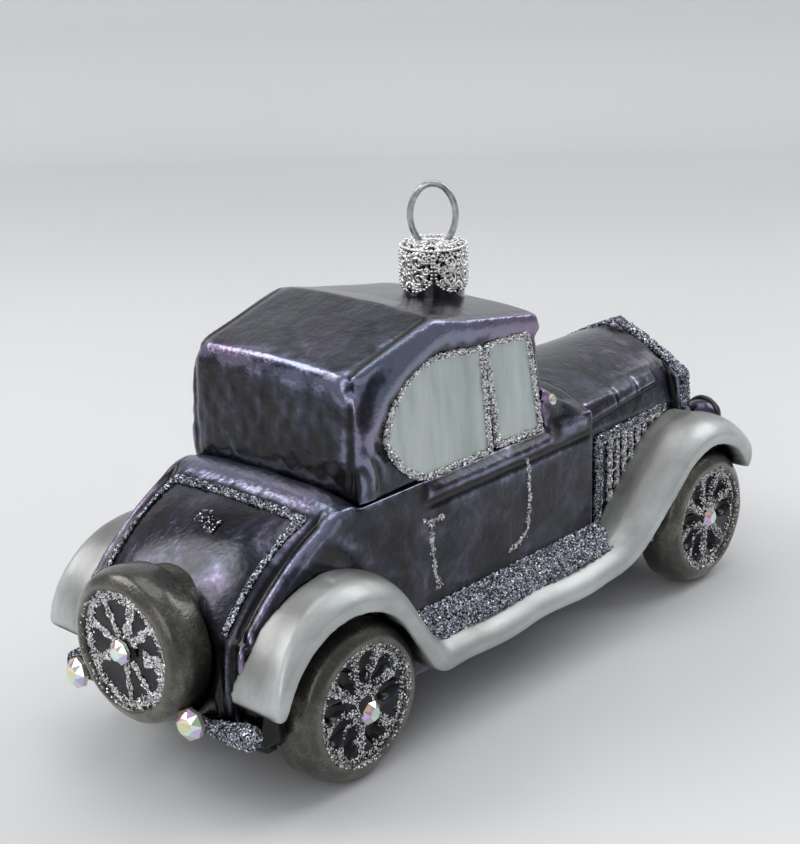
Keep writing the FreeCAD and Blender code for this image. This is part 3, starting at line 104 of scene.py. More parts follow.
def add(tree, kind, sockets=None, stops=(), **settings):
    """Adds one node. A socket takes a number, a colour or another node's output, and a
    colour ramp takes stops, which are pairs of a place and a hex colour."""
    new = tree.nodes.new(kind)
    for name, value in settings.items():
        setattr(new, name, value)
    for key, value in (sockets or {}).items():
        if isinstance(value, bpy.types.NodeSocket):
            tree.links.new(value, new.inputs[key])
        else:
            new.inputs[key].default_value = value
    if stops:
        elements = new.color_ramp.elements
        while len(elements) < len(stops):
            elements.new(0.5)
        for element, (place, code) in zip(elements, stops):
            element.position = place
            element.color = tint(code)
    return new


def start_material(name):
    """An empty material and its tree."""
    material = bpy.data.materials.new(name)
    material.use_nodes = True
    material.node_tree.nodes.clear()
    print("material", name)
    return material, material.node_tree


# %% [markdown]
# The glass is one moulded bubble: silver nitrate inside, and a thin dark lacquer over it
# outside. Light passes the lacquer, meets the mirror and comes back, so it acts as a dark
# metal under a clear coat. The lacquer was brushed on by hand, which leaves soft clouds
# of more and less purple, 5 to 10 mm across, and a faint unevenness in the shine. Noise
# scales are cells per metre: clouds of 8 mm, dabs of 1.5 mm, veins of 13 mm, waves of
# 2.6 mm and a grain of 0.7 mm.

# %% Dark lacquer over silvered glass
SHADE_STEPS = (0.0, 0.1, 0.2, 0.34, 0.5)
VEIN_HUES = [(0.36, "#bcd1da"), (0.5, "#d4d7e3"), (0.64, "#e0ccdc")]
GLOSS_RANGE = 0.14


def make_dark_lacquer(name, shades, rough, ripple, coat):
    """Five shades, from painted shade in the hollows to painted highlight on the ridges, over random
    clouds.
    """
    material, tree = start_material(name)
    place = add(tree, "ShaderNodeTexCoord").outputs["Object"]
    shade_weight = add(tree, "ShaderNodeAttribute", attribute_name="shade_and_highlight").outputs["Fac"]
    clouds = add(tree, "ShaderNodeTexNoise", {"Vector": place, "Scale": 120.0, "Detail": 5.0,
                                              "Roughness": 0.62, "Distortion": 0.9})
    dabs = add(tree, "ShaderNodeTexNoise", {"Vector": place, "Scale": 650.0, "Detail": 3.0,
                                            "Roughness": 0.6})
    mottled = add(tree, "ShaderNodeMath", {0: dabs.outputs["Fac"], 1: 0.35,
                                           2: clouds.outputs["Fac"]}, operation="MULTIPLY_ADD")
    # The random clouds less the painted shade of the hollows: low values paint shade, high values paint
    # highlight.
    thin = add(tree, "ShaderNodeMath", {0: mottled.outputs["Value"], 1: shade_weight},
               operation="SUBTRACT")
    shade = add(tree, "ShaderNodeValToRGB", {"Fac": thin.outputs["Value"]},
                stops=list(zip(SHADE_STEPS, shades)))
    veins = add(tree, "ShaderNodeTexNoise", {"Vector": place, "Scale": 75.0, "Detail": 2.0})
    hue = add(tree, "ShaderNodeValToRGB", {"Fac": veins.outputs["Fac"]}, stops=VEIN_HUES)
    colour = add(tree, "ShaderNodeMix", {0: 1.0, 6: shade.outputs["Color"],
                                         7: hue.outputs["Color"]},
                 data_type="RGBA", blend_type="MULTIPLY")
    wave = add(tree, "ShaderNodeTexNoise", {"Vector": place, "Scale": 380.0, "Detail": 2.0})
    grain = add(tree, "ShaderNodeTexNoise", {"Vector": place, "Scale": 1400.0, "Detail": 3.0})
    both = add(tree, "ShaderNodeMath", {0: grain.outputs["Fac"], 1: 0.4,
                                        2: wave.outputs["Fac"]}, operation="MULTIPLY_ADD")
    bump = add(tree, "ShaderNodeBump", {"Height": both.outputs["Value"], "Strength": ripple,
                                        "Distance": 0.3 * MM})
    gloss = add(tree, "ShaderNodeMapRange", {"Value": clouds.outputs["Fac"], "To Min": rough,
                                             "To Max": rough + GLOSS_RANGE})
    shader = add(tree, "ShaderNodeBsdfPrincipled", {
        "Base Color": colour.outputs[2], "Metallic": 0.85, "Roughness": gloss.outputs["Result"],
        "Coat Weight": coat, "Coat Roughness": 0.17, "Normal": bump.outputs["Normal"]})
    add(tree, "ShaderNodeOutputMaterial", {"Surface": shader.outputs["BSDF"]})
    return material


dark_lacquer = make_dark_lacquer(
    "dark_lacquer_on_silvered_glass", ("#030305", "#181922", "#2d2f3a", "#504e5d", "#9b94a8"),
    rough=0.17, ripple=0.7, coat=0.5)
disc_lacquer = make_dark_lacquer(
    "black_lacquer_on_silvered_glass", ("#020203", "#060609", "#0c0b11", "#1b1922", "#4b4757"),
    rough=0.14, ripple=0.3, coat=0.45)

# %% [markdown]
# The fenders carry an opaque satin silver paint, laid on with a soft brush along the
# sweep. It is a paint with aluminium flake in it: half metal, rather rough, with slightly
# darker patches of about 7 mm where it was laid thin over the dark glass, and brush
# strokes about 1 mm wide. The windows have the same paint with a little green in it.

# %% Silver paint
DARK_GLASS = "#0b0a0c"
# The darker colour that paints shade on the fenders' upward-facing crowns.
SHADED_CROWN_PAINT = "#6d6966"


def make_silver_paint(name, stops, stretch):
    """A satin aluminium paint; where the attribute bare is 1 the dark glass shows, and where thin is 1 it
    is painted darker as shade.
    """
    material, tree = start_material(name)
    place = add(tree, "ShaderNodeTexCoord").outputs["Object"]
    stretched = add(tree, "ShaderNodeMapping", {"Vector": place, "Scale": stretch})
    patches = add(tree, "ShaderNodeTexNoise", {"Vector": stretched.outputs["Vector"],
                                               "Scale": 150.0, "Detail": 5.0, "Roughness": 0.62})
    paint = add(tree, "ShaderNodeValToRGB", {"Fac": patches.outputs["Fac"]}, stops=stops)
    thin = add(tree, "ShaderNodeAttribute", attribute_name="thin").outputs["Fac"]
    bare = add(tree, "ShaderNodeAttribute", attribute_name="bare").outputs["Fac"]
    # Where thin is 1 the paint is darkened as painted shade.
    coat = add(tree, "ShaderNodeMix", {0: thin, 6: paint.outputs["Color"], 7: tint(SHADED_CROWN_PAINT)},
               data_type="RGBA")
    colour = add(tree, "ShaderNodeMix", {0: bare, 6: coat.outputs[2], 7: tint(DARK_GLASS)},
                 data_type="RGBA")
    strokes = add(tree, "ShaderNodeTexNoise", {"Vector": stretched.outputs["Vector"],
                                               "Scale": 900.0, "Detail": 3.0})
    bump = add(tree, "ShaderNodeBump", {"Height": strokes.outputs["Fac"], "Strength": 0.35,
                                        "Distance": 0.15 * MM})
    shader = add(tree, "ShaderNodeBsdfPrincipled", {
        "Base Color": colour.outputs[2], "Metallic": 0.4, "Roughness": 0.4, "Coat Weight": 0.2,
        "Coat Roughness": 0.2, "Normal": bump.outputs["Normal"]})
    add(tree, "ShaderNodeOutputMaterial", {"Surface": shader.outputs["BSDF"]})
    return material


silver_paint = make_silver_paint("satin_silver_paint", [
    (0.28, "#8b8782"), (0.42, "#a5a8a7"), (0.58, "#b9bebd"), (0.78, "#d0d5d4")], (0.35, 1.0, 0.6))
window_paint = make_silver_paint("satin_silver_green_paint", [
    (0.25, "#9aa5a3"), (0.5, "#b7c1bf"), (0.75, "#c9d0cd")], (1.5, 1.0, 0.3))

# %% [markdown]
# The tyres are painted in a dark pewter with a coarse metal flake: brown-grey patches of
# about 6 mm, a brighter ring on the shoulders that is both rubbed paint and a painted
# highlight, and a speckle about 0.4 mm across.

# %% Pewter paint on the tyres
pewter, tree = start_material("dark_pewter_metallic_paint")
place = add(tree, "ShaderNodeTexCoord").outputs["Object"]
patches = add(tree, "ShaderNodeTexNoise", {"Vector": place, "Scale": 170.0, "Detail": 6.0,
                                           "Roughness": 0.7})
speckle = add(tree, "ShaderNodeTexNoise", {"Vector": place, "Scale": 2600.0, "Detail": 2.0})
mixed = add(tree, "ShaderNodeMath", {0: speckle.outputs["Fac"], 1: 0.35,
                                     2: patches.outputs["Fac"]}, operation="MULTIPLY_ADD")
paint = add(tree, "ShaderNodeValToRGB", {"Fac": mixed.outputs["Value"]},
            stops=[(0.4, "#2d2d2b"), (0.68, "#4c4b46"), (1.0, "#8a8676")])
wear_and_sheen = add(tree, "ShaderNodeAttribute", attribute_name="wear_and_sheen").outputs["Fac"]
# The bright shoulder ring is both rubbed paint and a painted highlight.
colour = add(tree, "ShaderNodeMix", {0: wear_and_sheen, 6: paint.outputs["Color"], 7: tint("#a19b8a")},
             data_type="RGBA")
bump = add(tree, "ShaderNodeBump", {"Height": speckle.outputs["Fac"], "Strength": 0.35,
                                    "Distance": 0.2 * MM})
shader = add(tree, "ShaderNodeBsdfPrincipled", {
    "Base Color": colour.outputs[2], "Metallic": 0.7, "Roughness": 0.3, "Coat Weight": 0.5,
    "Coat Roughness": 0.12, "Normal": bump.outputs["Normal"]})
add(tree, "ShaderNodeOutputMaterial", {"Surface": shader.outputs["BSDF"]})

# %% [markdown]
# Glitter is cut from metallised film: each grain is a flat mirror at its own tilt. The
# grains are real little squares here, and each takes its own colour from one random
# number per grain, from white through grey to near black, with a few blue and violet ones.
# The glue under them is full of buried grains, one colour per cell of about 0.3 mm.

# %% Glitter and its glue bed


def make_flake_film(name, stops, metallic):
    """A film whose colour is drawn once for each grain."""
    material, tree = start_material(name)
    chance = add(tree, "ShaderNodeNewGeometry").outputs["Random Per Island"]
    colour = add(tree, "ShaderNodeValToRGB", {"Fac": chance}, stops=stops)
    shader = add(tree, "ShaderNodeBsdfPrincipled", {"Base Color": colour.outputs["Color"],
                                                    "Metallic": metallic, "Roughness": 0.24})
    add(tree, "ShaderNodeOutputMaterial", {"Surface": shader.outputs["BSDF"]})
    return material


bright_film = make_flake_film("bright_silver_glitter_film", [
    (0.0, "#0e0f10"), (0.18, "#55585b"), (0.3, "#e2e4e4"), (0.5, "#ffffff"), (0.8, "#f4f4f2"),
    (0.92, "#e3d9e8"), (1.0, "#d4ecdc")], metallic=0.4)
dark_film = make_flake_film("grey_blue_glitter_film", [
    (0.0, "#07080a"), (0.3, "#282c34"), (0.48, "#6d7580"), (0.62, "#c4cbd3"), (0.76, "#ffffff"),
    (0.87, "#93a8cc"), (0.93, "#bda4cc"), (1.0, "#ffffff")], metallic=0.55)


def make_glue(name, stops):
    """A bed of glue full of buried grains, one colour per cell."""
    material, tree = start_material(name)
    place = add(tree, "ShaderNodeTexCoord").outputs["Object"]
    grains = add(tree, "ShaderNodeTexVoronoi", {"Vector": place, "Scale": 3200.0})
    colour = add(tree, "ShaderNodeValToRGB", {"Fac": grains.outputs["Color"]}, stops=stops)
    shader = add(tree, "ShaderNodeBsdfPrincipled", {"Base Color": colour.outputs["Color"],
                                                    "Metallic": 0.6, "Roughness": 0.35})
    add(tree, "ShaderNodeOutputMaterial", {"Surface": shader.outputs["BSDF"]})
    return material


glue = make_glue("grey_glitter_glue", [(0.25, "#08090c"), (0.5, "#424852"), (0.8, "#c3c9d0")])
pale_glue = make_glue("pale_glitter_glue", [(0.3, "#1c1d1f"), (0.45, "#b9bbbc"), (0.7, "#ffffff")])

# %% [markdown]
# The crystals are foil-backed glass with a rainbow coating. Every facet throws back its
# own pastel, so each facet is an island of its own and takes its own colour.

# %% Crystal
crystal, tree = start_material("rainbow_coated_crystal")
chance = add(tree, "ShaderNodeNewGeometry").outputs["Random Per Island"]
colour = add(tree, "ShaderNodeValToRGB", {"Fac": chance}, stops=[
    (0.0, "#f4f1c4"), (0.2, "#e9f6ee"), (0.38, "#a9e4e2"), (0.55, "#f8f4ee"),
    (0.68, "#f3b6c8"), (0.8, "#cdb8f2"), (0.9, "#f0dd9a"), (1.0, "#b8f0c8")])
shader = add(tree, "ShaderNodeBsdfPrincipled", {
    "Base Color": colour.outputs["Color"], "Metallic": 0.75, "Roughness": 0.07,
    "Coat Weight": 1.0, "Coat Roughness": 0.02})
add(tree, "ShaderNodeOutputMaterial", {"Surface": shader.outputs["BSDF"]})

# %% [markdown]
# The cap is thin bright-plated steel, embossed with scrollwork and darkened in its
# recesses, and the loop is a drawn spring wire. The neck is bare silvered glass. All four
# are metals that differ in their colours, their shine and the size of their unevenness,
# which runs from 0.8 mm in the recesses to 2 mm on the neck.

# %% Cap, wire and neck


def make_metal(name, scale, detail, stops, rough, metallic=1.0, coat=0.0, relief=0.0):
    """A metal that varies over one noise, which can also raise its surface."""
    material, tree = start_material(name)
    place = add(tree, "ShaderNodeTexCoord").outputs["Object"]
    noise = add(tree, "ShaderNodeTexNoise", {"Vector": place, "Scale": scale, "Detail": detail})
    colour = add(tree, "ShaderNodeValToRGB", {"Fac": noise.outputs["Fac"]}, stops=stops)
    shader = add(tree, "ShaderNodeBsdfPrincipled", {
        "Base Color": colour.outputs["Color"], "Metallic": metallic, "Roughness": rough,
        "Coat Weight": coat})
    if relief:
        bump = add(tree, "ShaderNodeBump", {"Height": noise.outputs["Fac"], "Strength": relief,
                                            "Distance": 0.4 * MM})
        tree.links.new(bump.outputs["Normal"], shader.inputs["Normal"])
    add(tree, "ShaderNodeOutputMaterial", {"Surface": shader.outputs["BSDF"]})
    return material


cap_metal = make_metal("embossed_bright_plating", 600.0, 3.0,
                       [(0.3, "#d6d6d4"), (0.7, "#f6f6f4")], rough=0.13)
cap_recess = make_metal("darkened_plating_in_the_recesses", 1300.0, 1.0,
                        [(0.42, "#0d0d0e"), (0.48, "#8a8a8a"), (0.56, "#f0f0ee")],
                        rough=0.2, relief=0.8)
wire_metal = make_metal("drawn_spring_wire", 900.0, 2.0,
                        [(0.3, "#8f9192"), (0.7, "#c8cacb")], rough=0.28)
neck_glass = make_metal("bare_silvered_glass", 500.0, 3.0,
                        [(0.3, "#1c1a1e"), (0.7, "#4f4d52")], rough=0.1, metallic=0.9, coat=1.0)

# %% [markdown]
# Moulded glass has no sharp edge anywhere: it is blown into the mould's corners and stays
# rounded. A copy of the frame's solids is merged, rebuilt on a grid of voxels, which joins
# them as one skin, and smoothed, which gives the melted edges. Gentle waves follow, from a
# few crossed sines, because no blown wall is flat and its reflections swim.

# %% Shaping helpers


def leave_selected(*wanted):
    """Deselects everything, then selects the wanted objects, the first one active."""
    bpy.ops.object.select_all(action="DESELECT")
    for obj in wanted:
        obj.select_set(True)
    bpy.context.view_layer.objects.active = wanted[0]


def merged_copy(name, node_names, fills=()):
    """One object from copies of frame nodes and fills, its loose triangles merged."""
    copies = []
    for node_name in node_names:
        copy = nodes[node_name].copy()
        copy.data = nodes[node_name].data.copy()
        copy.parent = None
        copy.matrix_world = Matrix.Identity(4)
        for key in list(copy.keys()):
            if key.startswith("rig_"):
                del copy[key]
        bpy.context.scene.collection.objects.link(copy)
        copies.append(copy)
    copies += fills
    leave_selected(*copies)
    if len(copies) > 1:
        bpy.ops.object.join()
    piece = copies[0]
    piece.name = name
    piece.data.name = name
    piece.data.materials.clear()
    bpy.ops.object.mode_set(mode="EDIT")
    bpy.ops.mesh.select_all(action="SELECT")
    bpy.ops.mesh.remove_doubles(threshold=0.001 * MM)
    bpy.ops.mesh.normals_make_consistent(inside=False)
    bpy.ops.object.mode_set(mode="OBJECT")
    bpy.ops.mesh.customdata_custom_splitnormals_clear()
    return piece


def melt(piece, voxel, rounds):
    """Rebuilds a piece on a voxel grid and smooths its edges."""
    leave_selected(piece)
    piece.data.use_remesh_preserve_attributes = False
    piece.data.remesh_voxel_size = voxel
    bpy.ops.object.voxel_remesh()
    smooth = piece.modifiers.new("melt", "SMOOTH")
    smooth.factor = 0.5
    smooth.iterations = rounds
    bpy.ops.object.modifier_apply(modifier=smooth.name)
    bpy.ops.object.shade_smooth()
    return piece


# %% [markdown]
# A melted skin has tens of thousands of vertices, so they are read, moved and written as
# arrays, one row each. Smoothing is a mean of each vertex's neighbours, and a material is
# told by one number per vertex where to paint shade in the hollows and highlight on the
# ridges.

# %% Arrays of vertices


def points_of(mesh):
    """The places of a mesh's vertices, one row each."""
    flat = np.empty(len(mesh.vertices) * 3)
    mesh.vertices.foreach_get("co", flat)
    return flat.reshape(-1, 3)


def normals_of(mesh):
    """The directions in which a mesh's vertices face, one row each."""
    flat = np.empty(len(mesh.vertices) * 3)
    mesh.vertex_normals.foreach_get("vector", flat)
    return flat.reshape(-1, 3)


def move_points(mesh, points):
    """Puts a mesh's vertices at new places."""
    mesh.vertices.foreach_set("co", points.ravel())
    mesh.update()


def waves(points, length, seed):
    """A smooth unevenness between -1 and 1: four crossed sines of about one length."""
    chance = np.random.default_rng(seed)
    total = np.zeros(len(points))
    for _ in range(4):
        heading = chance.normal(size=3)
        heading /= np.linalg.norm(heading)
        stretch = 2 * math.pi / (length * chance.uniform(0.7, 1.4))
        total += np.sin(points @ heading * stretch + chance.uniform(0, 2 * math.pi))
    return total / 4


def neighbour_mean(points, edges, rounds):
    """Points after some rounds of moving half way to the mean of their neighbours."""
    one, two = edges[:, 0], edges[:, 1]
    count = np.bincount(one, minlength=len(points)) + np.bincount(two, minlength=len(points))
    count = np.maximum(count, 1)[:, None]
    for _ in range(rounds):
        total = np.stack([np.bincount(one, points[two, k], len(points)) +
                          np.bincount(two, points[one, k], len(points)) for k in range(3)], axis=1)
        points = (points + total / count) / 2
    return points


def smoothed_points(mesh, rounds):
    """Where a mesh's vertices would lie after some rounds of smoothing."""
    ends = np.empty(len(mesh.edges) * 2, dtype=np.int64)
    mesh.edges.foreach_get("vertices", ends)
    return neighbour_mean(points_of(mesh), ends.reshape(-1, 2), rounds)


def soften(piece, weight, rounds):
    """Rounds a piece off where a weight is near 1."""
    points = points_of(piece.data)
    smoother = smoothed_points(piece.data, rounds)
    move_points(piece.data, points + (smoother - points) * np.clip(weight, 0, 1)[:, None])


def soften_all(piece, rounds):
    """Rounds a whole piece off."""
    soften(piece, np.ones(len(piece.data.vertices)), rounds)


def push(piece, distance):
    """Moves each vertex of a piece outwards by a distance, one for all or one for each."""
    points = points_of(piece.data)
    moved = normals_of(piece.data) * np.reshape(distance, (-1, 1))
    move_points(piece.data, points + moved)


def shape_skin(piece, shape, length, seed, depth):
    """Moves a skin by its own shaping function and lets its walls swim, in millimetres."""
    points, normals = points_of(piece.data), normals_of(piece.data)
    swim = waves(points, length * MM, seed) * depth * MM
    move_points(piece.data, shape(points / MM, normals) * MM + normals * swim[:, None])


def write_layer(mesh, name, values):
    """Writes one number per vertex, which a material reads by its name."""
    layer = mesh.attributes.new(name, "FLOAT", "POINT")
    layer.data.foreach_set("value", values.astype(np.float32))


def mark_shade_and_highlight(piece, rounds=14, depth=0.25 * MM, more=0.0):
    """Writes how hollow the surface is, from 0 on a ridge to 1 in a crease, for the lacquer to paint as
    highlight and shade.
    """
    mesh = piece.data
    hollow = ((smoothed_points(mesh, rounds) - points_of(mesh)) * normals_of(mesh)).sum(axis=1)
    write_layer(mesh, "shade_and_highlight", np.clip(0.5 + hollow / depth * 0.5 + more, 0, 1))


def thin_out(piece, share):
    """Collapses the shortest edges until a share of the triangles is left."""
    leave_selected(piece)
    fewer = piece.modifiers.new("fewer", "DECIMATE")
    fewer.ratio = share
    bpy.ops.object.modifier_apply(modifier=fewer.name)
    bpy.ops.object.shade_smooth()


# %% [markdown]
# The drawn features are weights over the surface: a soft bump round a place or a line, or
# a band between two limits. A weight times a depth moves the vertices.

# %% Weights


def bell(distance, width):
    """A soft bump: 1 in the middle, falling off over a width."""
    return np.exp(-(distance / width) ** 2)


def between(value, low, high, soft):
    """1 between two limits, fading to 0 over a soft edge outside them. A limit that no value
    reaches, such as 99 mm or 2 for a unit normal, leaves its side open."""
    return (1 / (1 + np.exp(-(value - low) / soft))) * (1 / (1 + np.exp((value - high) / soft)))


def from_place(x, z, place):
    """Distance of points in one view from a place in it."""
    return np.hypot(x - place[0], z - place[1])


def from_line(x, z, line):
    """Distance of points in the side view from a broken line."""
    nearest = np.full(len(x), 1e9)
    for (ax, az), (bx, bz) in zip(line, line[1:]):
        length = (bx - ax) ** 2 + (bz - az) ** 2
        share = np.clip(((x - ax) * (bx - ax) + (z - az) * (bz - az)) / length, 0, 1)
        gap = np.hypot(x - ax - share * (bx - ax), z - az - share * (bz - az))
        nearest = np.minimum(nearest, gap)
    return nearest


# %% [markdown]
# Every finished piece gets its material, rides on a body of the frame and hides the solids
# of the frame it stands for.

# %% Dressing


def dress(piece, material, body, slot, *replaced):
    """Gives a finished piece its material, its body and the nodes it stands for; slot is not used."""
    piece.data.materials.clear()
    piece.data.materials.append(material)
    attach(piece, body)
    if replaced:
        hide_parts(*replaced)
    print(piece.name, len(piece.data.polygons), "faces")
    return piece


SIDES = {"right": -1, "left": 1}
CORNERS = {"rear_right": -1, "rear_left": 1, "front_right": -1, "front_left": 1}

# %% [markdown]
# The cab's side is framed by one broad soft ridge, which rises from the belt behind the
# quarter window, goes over it and runs out as a visor above the door window. A black
# groove parts it from the roof, a pit marks the roof's rear corner, and the glass behind
# the window is folded where it was drawn out of the mould. These are lines and places in
# the side view, in millimetres, and each vertex moves by how near it is to them.

# %% Cab lines
RIDGE = [(-31.7, 41.0), (-31.4, 46.0), (-30.5, 50.5), (-27.9, 54.9), (-23.2, 58.1), (-16.5, 60.7),
         (-13.0, 61.2), (-3.0, 59.6), (9.6, 58.0)]
ROOF_EDGE = [(-33.1, 58.7), (-22.4, 62.1), (-14.8, 63.8), (11.3, 59.1)]
ROOF_HALF_WIDTH = 16.3
REAR_FOLDS = (-30.6, 45.6)
RIDGE_RISE = 1.35
BULGE_RISE = 0.8
PILLOW_RISE = 0.75
PIT_DEPTH = 1.2


def shape_cab(points, normals):
    """Ridge, grooves, pit and folds of the cab, in millimetres."""
    x, y, z = points.T
    side, out = np.sign(y), np.abs(y)
    wall = between(np.abs(normals[:, 1]), 0.45, 2, 0.08)
    roof = between(normals[:, 2], 0.5, 2, 0.08)
    back = between(-normals[:, 0], 0.5, 2, 0.08)
    moved = points.copy()
    swell = bell(from_line(x, z, RIDGE), 2.4) * (0.5 + 0.5 * between(-x, 8, 90, 4))
    swell *= 0.35 + 0.65 * between(z, 49, 99, 1.2)
    moved[:, 1] += side * RIDGE_RISE * swell * wall
    folds = np.sin(2.1 * x + 1.1 * z + 1.6 * np.sin(z / 1.5)) * bell(from_place(x, z, REAR_FOLDS), 3.6)
    moved[:, 1] += side * 0.32 * folds * wall
    rear_part = between(-x, 13.5, 90, 1.5)
    groove_line = bell(ROOF_HALF_WIDTH - out - 1.1, 0.5) * (0.05 + 0.35 * rear_part)
    moved[:, 2] -= groove_line * between(x, -33, 7.5, 0.8) * roof
    bead = bell(np.hypot(from_line(x, z, ROOF_EDGE), out - 16.8), 1.1) * rear_part
    near_side = np.where(y < 0, 1.0, 0.25)
    moved += normals * (0.45 * bead * near_side)[:, None]
    pit = bell(np.sqrt((x + 32.6) ** 2 + (out - 15.8) ** 2 + (z - 57.8) ** 2), 1.2)
    moved -= normals * (PIT_DEPTH * pit * near_side)[:, None]
    crease = bell(out - 15.7, 0.55) * between(z, 42, 56, 0.6) * back
    moved[:, 0] += 0.45 * crease
    pillow = between(z, 41.5, 58, 1.2) * between(out, -1, 16.5, 0.8) * back
    moved[:, 0] -= PILLOW_RISE * pillow
    moved[:, 1] += side * BULGE_RISE * between(-x, 30.8, 99, 0.7) * between(z, 41.5, 56.5, 1.0)
    dimples = waves(points, 2.1, 31) * 0.11 + waves(points * (1, 1, 1.8), 1.4, 32) * 0.07
    moved[:, 0] += dimples * back * between(z, 41, 55, 1.0)
    return moved


# %% [markdown]
# The roof rises towards its rear edge by up to 2 mm more than the frame's solid does, so
# the skin is stretched there first. Then the edges that the real glass has rounded most
# are softened, the lines above are drawn, and the walls are set swimming.

# %% Cab skin
cab = melt(merged_copy("cab_skin", ["cab"]), voxel=0.36 * MM, rounds=12)
points = points_of(cab.data)
rise = np.interp(points[:, 0] / MM, [-34, -15, -8, 12], [2.0, 0.6, 0.1, 0])
points[:, 2] += rise * np.clip((points[:, 2] / MM - 44) / 13, 0, 1) * MM
move_points(cab.data, points)
x, y, z = points_of(cab.data).T / MM
out = np.abs(y)
rear_edge = bell(from_place(x, z, (-33.2, 58.5)), 2.6) * between(out, -1, 15.4, 0.5)
side_edge = bell(np.hypot(from_line(x, z, ROOF_EDGE), out - 16.4), 1.8)
corner = bell(from_place(x, out, (-33.4, 16.4)), 1.5)
front_edge = bell(from_place(x, z, (11.3, 58.6)), 1.6)
soften(cab, rear_edge + 0.3 * side_edge + 0.25 * corner + front_edge, rounds=60)
shape_skin(cab, shape_cab, length=8, seed=3, depth=0.09)
soften_all(cab, rounds=2)

# %% [markdown]
# The lacquer's colour carries painted shade and painted highlight, added to the shade of
# the hollows: a dark painted reflection at the foot of the rear panel, painted shade along
# the roof's edge line, on the rear edge's crest and faintly over the whole rear panel, and
# painted highlights on the ridges, along the roof's side edge and on the band just under the roof.

# %% Cab lacquer
x, y, z = points_of(cab.data).T / MM
normals = normals_of(cab.data)
# The foot of the rear panel is painted dark, as a painted reflection of the ledge.
reflection_top = 43.4 - 0.12 * y + 0.9 * waves(points_of(cab.data), 3 * MM, 33)
foot = between(-normals[:, 0], 0.5, 2, 0.1) / (1 + np.exp((z - reflection_top) / 0.35))
back = between(-normals[:, 0], 0.4, 2, 0.1)
highlight_band = between(z, 57.0 - 0.05 * (16 - y), 99, 0.35) * back
wall = between(np.abs(normals[:, 1]), 0.3, 2, 0.1)
arch_highlight = bell(from_line(x, z, RIDGE), 1.9) * wall * between(z, 46, 99, 1.5)
roof = between(normals[:, 2], 0.4, 2, 0.1)
edge_shade_line = bell(np.abs(y) - 15.25, 0.4) * between(x, -33, -13, 1.0) * roof
crest_shade = bell(from_place(x, z, (-33.2, 58.7)), 0.5)
lip_highlight = (bell(from_line(x, z, ROOF_EDGE) - 1.0, 1.4) * between(np.abs(y), 16.0, 99, 0.2)
            * between(-x, 12, 99, 1.5))
mark_shade_and_highlight(cab, more=0.05 * back + 0.8 * foot - 0.34 * highlight_band - 0.34 * arch_highlight + 0.4 * edge_shade_line
           - 0.34 * lip_highlight + 0.18 * crest_shade)
thin_out(cab, share=0.6)
dress(cab, dark_lacquer, "ornament", "dark_lacquer", "cab")

# %% [markdown]
# The tub has a rolled ledge behind the cab with fine ribs across it, a rolled edge along
# each side of the boot deck, folds at its tail corners, a crease under the belt roll, and
# the cowl's seam that runs down from the windscreen.

# %% Tub lines
COWL_SEAM = [(13.3, 43.7), (17.0, 42.0), (20.7, 40.2), (22.6, 37.6), (23.3, 35.0)]
TAIL_CORNER = (-54.5, 13.0)
QUARTER_FOLDS = (-36.5, 33)


def shape_tub(points, normals):
    """Rolls, creases, ribs and folds of the tub, in millimetres."""
    x, y, z = points.T
    side, out = np.sign(y), np.abs(y)
    wall = between(np.abs(normals[:, 1]), 0.5, 2, 0.08)
    moved = points.copy()
    under_belt = bell(z - 35.7, 0.5) * between(x, -19, 23, 0.5)
    seam = bell(from_line(x, z, COWL_SEAM), 0.45)
    roll = bell(z - 37.9, 1.0) * between(x, -18, 11, 1.2)
    moved[:, 1] += side * (0.5 * roll - 0.5 * under_belt - 0.15 * seam) * wall
    ledge = between(x, -40.0, -34.6, 0.4) * between(z, 38.0, 60, 0.4)
    ribs = np.sin(y * 4.2 + np.sin(y * 0.9) * 1.3) * (0.5 + 0.5 * np.sin(y * 0.31 + 2))
    moved[:, 2] += 0.09 * ribs * ledge
    deck = between(-x, 39.5, 90, 0.5) * between(z, 20, 42, 0.5)
    open_face = between(normals[:, 2] - normals[:, 0], 0.5, 3, 0.1)
    deck_edge = 0.55 * bell(out - 15.6, 0.55) - 0.4 * bell(out - 16.9, 0.6)
    moved -= normals * (deck_edge * deck * open_face)[:, None]
    aside, behind = out - TAIL_CORNER[1], TAIL_CORNER[0] - x
    turn = np.degrees(np.arctan2(aside, behind))
    corner = between(turn, 5, 85, 5) * between(np.hypot(aside, behind), 3.5, 9, 0.3)
    flutes = np.sin(np.radians(turn) * 13 + 0.25 * z)
    moved -= normals * (0.28 * flutes * corner * between(z, 12, 32, 1.5))[:, None]
    pad = between(x, 14.2, 21.6, 0.25) * between(z - 0.08 * (18 - x), 37.2, 39.6, 0.3) * wall
    moved[:, 1] += side * 0.4 * pad
    folds = np.sin(0.9 * z + 0.8 * x + 1.5 * np.sin(z / 3)) * bell(from_place(x, z, QUARTER_FOLDS), 5.0)
    moved[:, 1] += side * 0.22 * folds * wall
    return moved


# %% [markdown]
# The cowl's flank swells out to the belt, which the frame's solid leaves flat. A cube is
# given the flank's shape and joins the copies before they are melted into one skin.

# %% Cowl fill
# Each section is its place along the car and its corners, as half width and height: the
# foot's inner and outer corner, then the top's.
COWL_REAR = (10.6, (((12, 36), (18.1, 36)), ((16.9, 44.7), (18.0, 40.6))))
COWL_FRONT = (23.8, (((12, 36), (17.2, 36)), ((14.6, 40.3), (16.9, 39.3))))


